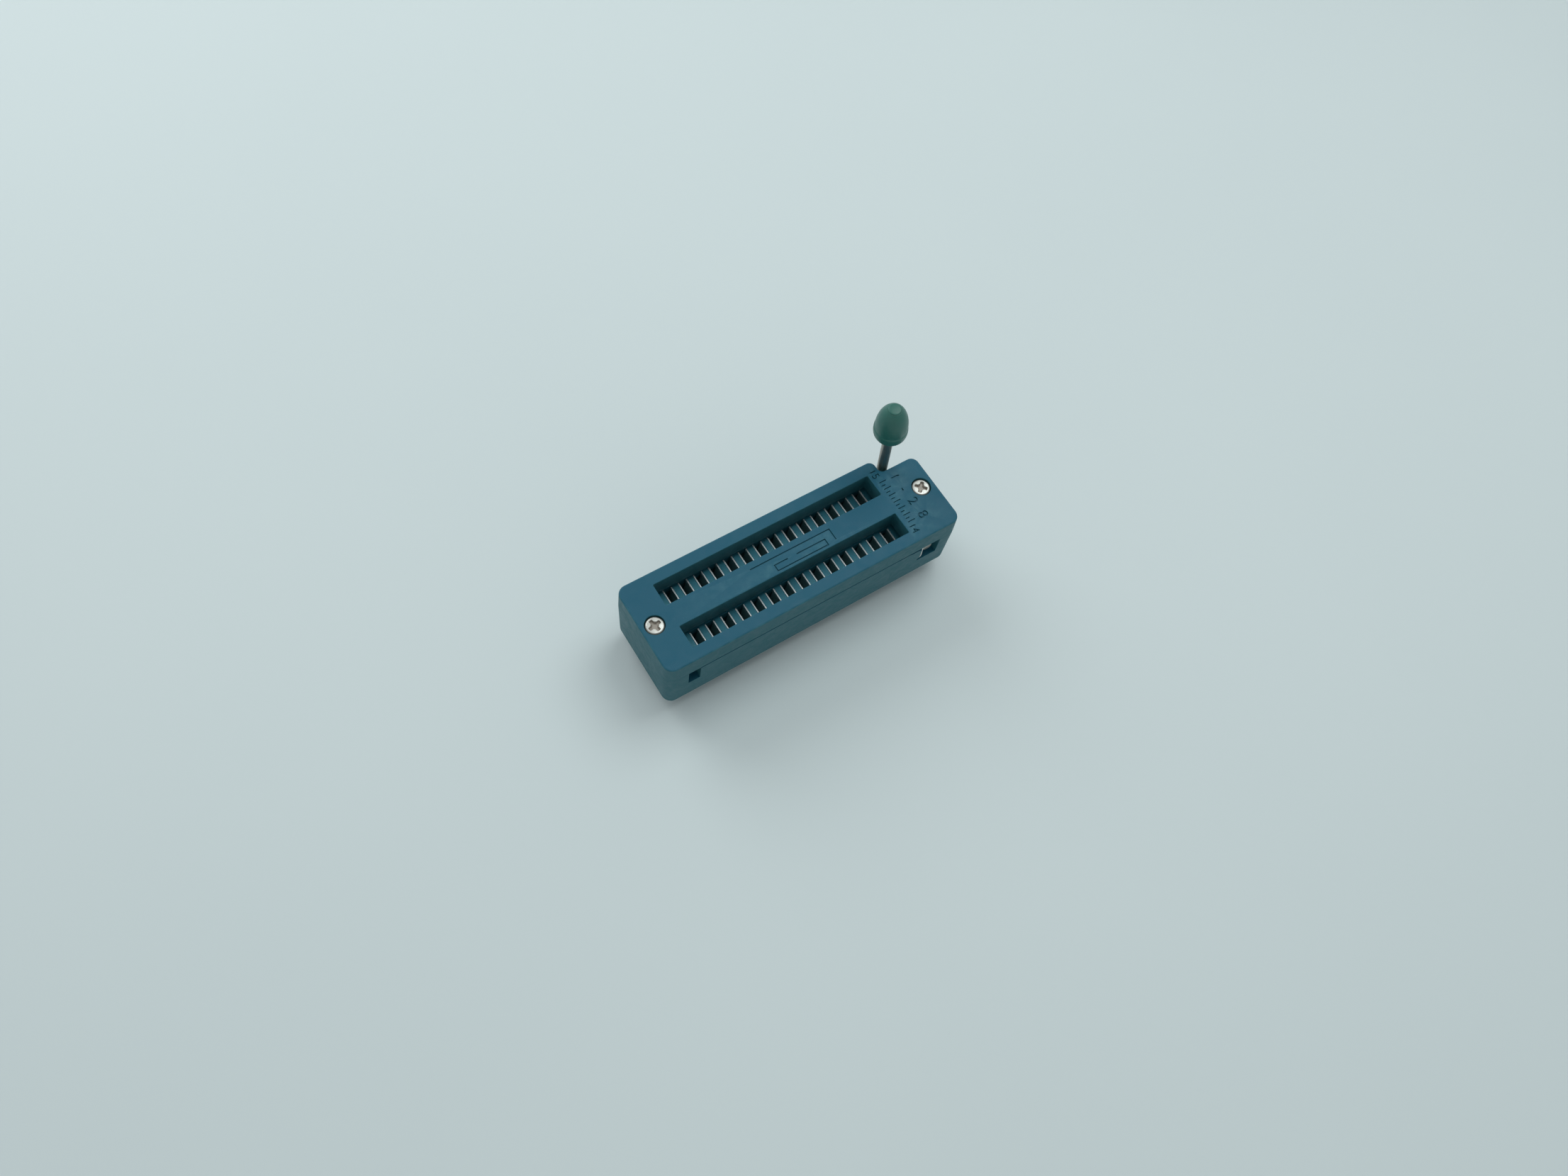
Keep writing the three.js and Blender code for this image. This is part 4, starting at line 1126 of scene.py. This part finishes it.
def screwPiece(name, x, turn):
    s = screw
    around = np.arange(s["sides"]) * 2 * math.pi / s["sides"]
    tip = np.broadcast_to([0, 0, s["tip"]], (1, s["sides"], 3))
    grid = np.concatenate([tip, threadedShank(around), screwHead(around)])
    wearAndHighlight = np.zeros(grid.shape[0] * grid.shape[1])
    piece = meshPiece(name, shifted([(grid.reshape(-1, 3), gridFaces(len(grid), s["sides"]), wearAndHighlight)], x))
    # recess: a cross with rounded corners, and an eight-sided hub
    w, l, outer, inner = s["crossHalf"], s["crossLong"], s["outerRadius"], s["innerRadius"]
    spin = math.radians(turn)
    matrix = np.array([[math.cos(spin), math.sin(spin)], [-math.sin(spin), math.cos(spin)]])
    cross = roundedLoop([
        (w, -l, outer), (w, -w, inner), (l, -w, outer), (l, w, outer), (w, w, inner), (w, l, outer),
        (-w, l, outer), (-w, w, inner), (-l, w, outer), (-l, -w, outer), (-w, -w, inner), (-w, -l, outer)], 3)
    cross = cross @ matrix + (x, 0)
    hub = circleLoop(0, 0, s["hub"], 8) @ matrix + (x, 0)
    carve(piece, [
        recess(cross, s["crossRows"], s["crossFloor"], s["crossDepth"]),
        recess(hub, s["hubRows"], s["hubFloor"], s["crossDepth"] + s["hubDeeper"]),
    ], 30)
    return piece


for name, side in (("left", -1), ("right", 1)):
    piece = screwPiece(f"screwHead_{name}", side * base["screwX"], screw["turns"][name])
    place(piece, "base", "screw_steel", screwNickel, f"screw_{name}")
print("socket: screws made")


# ---- floor and light ----
def paleSurface(look):
    # a smooth pale table top with a faint cloudy tone and an uneven sheen
    material = bpy.data.materials.new("paleSurface")
    material.use_nodes = True
    nodes, links = material.node_tree.nodes, material.node_tree.links
    nodes.clear()
    placeGroup = nodes.new("NodeFrame")
    placeGroup.label = "where the pattern sits"
    position = nodes.new("ShaderNodeTexCoord")
    position.label = "position on the table"
    toneGroup = nodes.new("NodeFrame")
    toneGroup.label = "cloudy tone"
    clouds = nodes.new("ShaderNodeTexNoise")
    clouds.label = "faint clouds in the coating"
    clouds.inputs["Scale"].default_value = 9
    clouds.inputs["Detail"].default_value = 3
    cloudTone = nodes.new("ShaderNodeMix")
    cloudTone.label = "paler and darker clouds"
    cloudTone.data_type = "RGBA"
    cloudTone.inputs["A"].default_value = (*look["dark"], 1)
    cloudTone.inputs["B"].default_value = (*look["light"], 1)
    glossGroup = nodes.new("NodeFrame")
    glossGroup.label = "soft sheen"
    sheenRange = nodes.new("ShaderNodeMapRange")
    sheenRange.label = "sheen follows the clouds"
    sheenRange.inputs["To Min"].default_value = look["roughness"][0]
    sheenRange.inputs["To Max"].default_value = look["roughness"][1]
    surface = nodes.new("ShaderNodeBsdfPrincipled")
    surface.label = "pale table top"
    surface.inputs["Specular IOR Level"].default_value = 0.2
    output = nodes.new("ShaderNodeOutputMaterial")
    output.label = "surface to the renderer"
    links.new(position.outputs["Object"], clouds.inputs["Vector"])
    links.new(clouds.outputs["Fac"], cloudTone.inputs["Factor"])
    links.new(cloudTone.outputs["Result"], surface.inputs["Base Color"])
    links.new(clouds.outputs["Fac"], sheenRange.inputs["Value"])
    links.new(sheenRange.outputs["Result"], surface.inputs["Roughness"])
    links.new(surface.outputs["BSDF"], output.inputs["Surface"])
    arrangeNodes({placeGroup: [position], toneGroup: [clouds, cloudTone], glossGroup: [sheenRange]}, surface, output)
    return material


table = {
    "half": 1500, "height": -3.3, "rows": 61,
    "coating": {"dark": (0.66, 0.73, 0.74), "light": (0.70, 0.77, 0.775), "roughness": (0.55, 0.7)},
}
rows = table["rows"]
across = np.linspace(-table["half"], table["half"], rows) * mm
gridX, gridY = np.meshgrid(across, across)
tablePoints = np.stack([gridX, gridY, np.full_like(gridX, table["height"] * mm)], -1).reshape(-1, 3)
corner = np.arange(rows * rows).reshape(rows, rows)
tableFaces = np.stack([corner[:-1, :-1], corner[:-1, 1:], corner[1:, 1:], corner[1:, :-1]], -1).reshape(-1, 4)
tableMesh = bpy.data.meshes.new("tableTop")
tableMesh.from_pydata(tablePoints.tolist(), [], tableFaces.tolist())
tableMesh.materials.append(paleSurface(table["coating"]))
tableTop = bpy.data.objects.new("tableTop", tableMesh)
scene.collection.objects.link(tableTop)

light = {
    "overhead": (0.10, 0.11, 0.115), "low": (0.70, 0.75, 0.76), "strength": 1.0,
    "lamps": {
        "ceiling": {"place": (0.234, 0.057, 0.442), "size": 0.34, "power": 0.80, "colour": (0.93, 1.0, 1.0)},
        "skylight": {"place": (-0.02, 0.01, 0.5), "size": 0.34, "power": 0.27, "colour": (0.95, 1.0, 1.0)},
        "window": {"place": (-0.095, 0.387, 0.287), "size": 0.34, "power": 0.80, "colour": (0.95, 1.0, 1.0)},
    },
}
world = bpy.data.worlds.new("room")
world.use_nodes = True
nodes, links = world.node_tree.nodes, world.node_tree.links
nodes.clear()
heading = nodes.new("ShaderNodeTexCoord")
heading.label = "direction in the room"
splitHeading = nodes.new("ShaderNodeSeparateXYZ")
splitHeading.label = "how far up the light comes from"
skyTone = nodes.new("ShaderNodeMix")
skyTone.label = "cooler light from overhead"
skyTone.data_type = "RGBA"
skyTone.inputs["A"].default_value = (*light["low"], 1)
skyTone.inputs["B"].default_value = (*light["overhead"], 1)
roomLight = nodes.new("ShaderNodeBackground")
roomLight.label = "soft light of the room"
roomLight.inputs["Strength"].default_value = light["strength"]
roomOutput = nodes.new("ShaderNodeOutputWorld")
roomOutput.label = "room to the renderer"
links.new(heading.outputs["Generated"], splitHeading.inputs["Vector"])
links.new(splitHeading.outputs["Z"], skyTone.inputs["Factor"])
links.new(skyTone.outputs["Result"], roomLight.inputs["Color"])
links.new(roomLight.outputs["Background"], roomOutput.inputs["Surface"])
for column, node in enumerate((heading, splitHeading, skyTone, roomLight, roomOutput)):
    node.location = (260 * column, 0)
scene.world = world
for name, lamp in light["lamps"].items():
    lampData = bpy.data.lights.new(name, "AREA")
    lampData.shape, lampData.size = "DISK", lamp["size"]
    lampData.energy, lampData.color = lamp["power"], lamp["colour"]
    lampObject = bpy.data.objects.new(name, lampData)
    lampObject.location = lamp["place"]
    # turned so that the lamp shines on the middle of the part
    x, y, z = -np.array(lamp["place"])
    lampObject.rotation_euler = (math.atan2(math.hypot(x, y), -z), 0, math.atan2(y, x) - math.pi / 2)
    scene.collection.objects.link(lampObject)
print("socket: table and lights set")
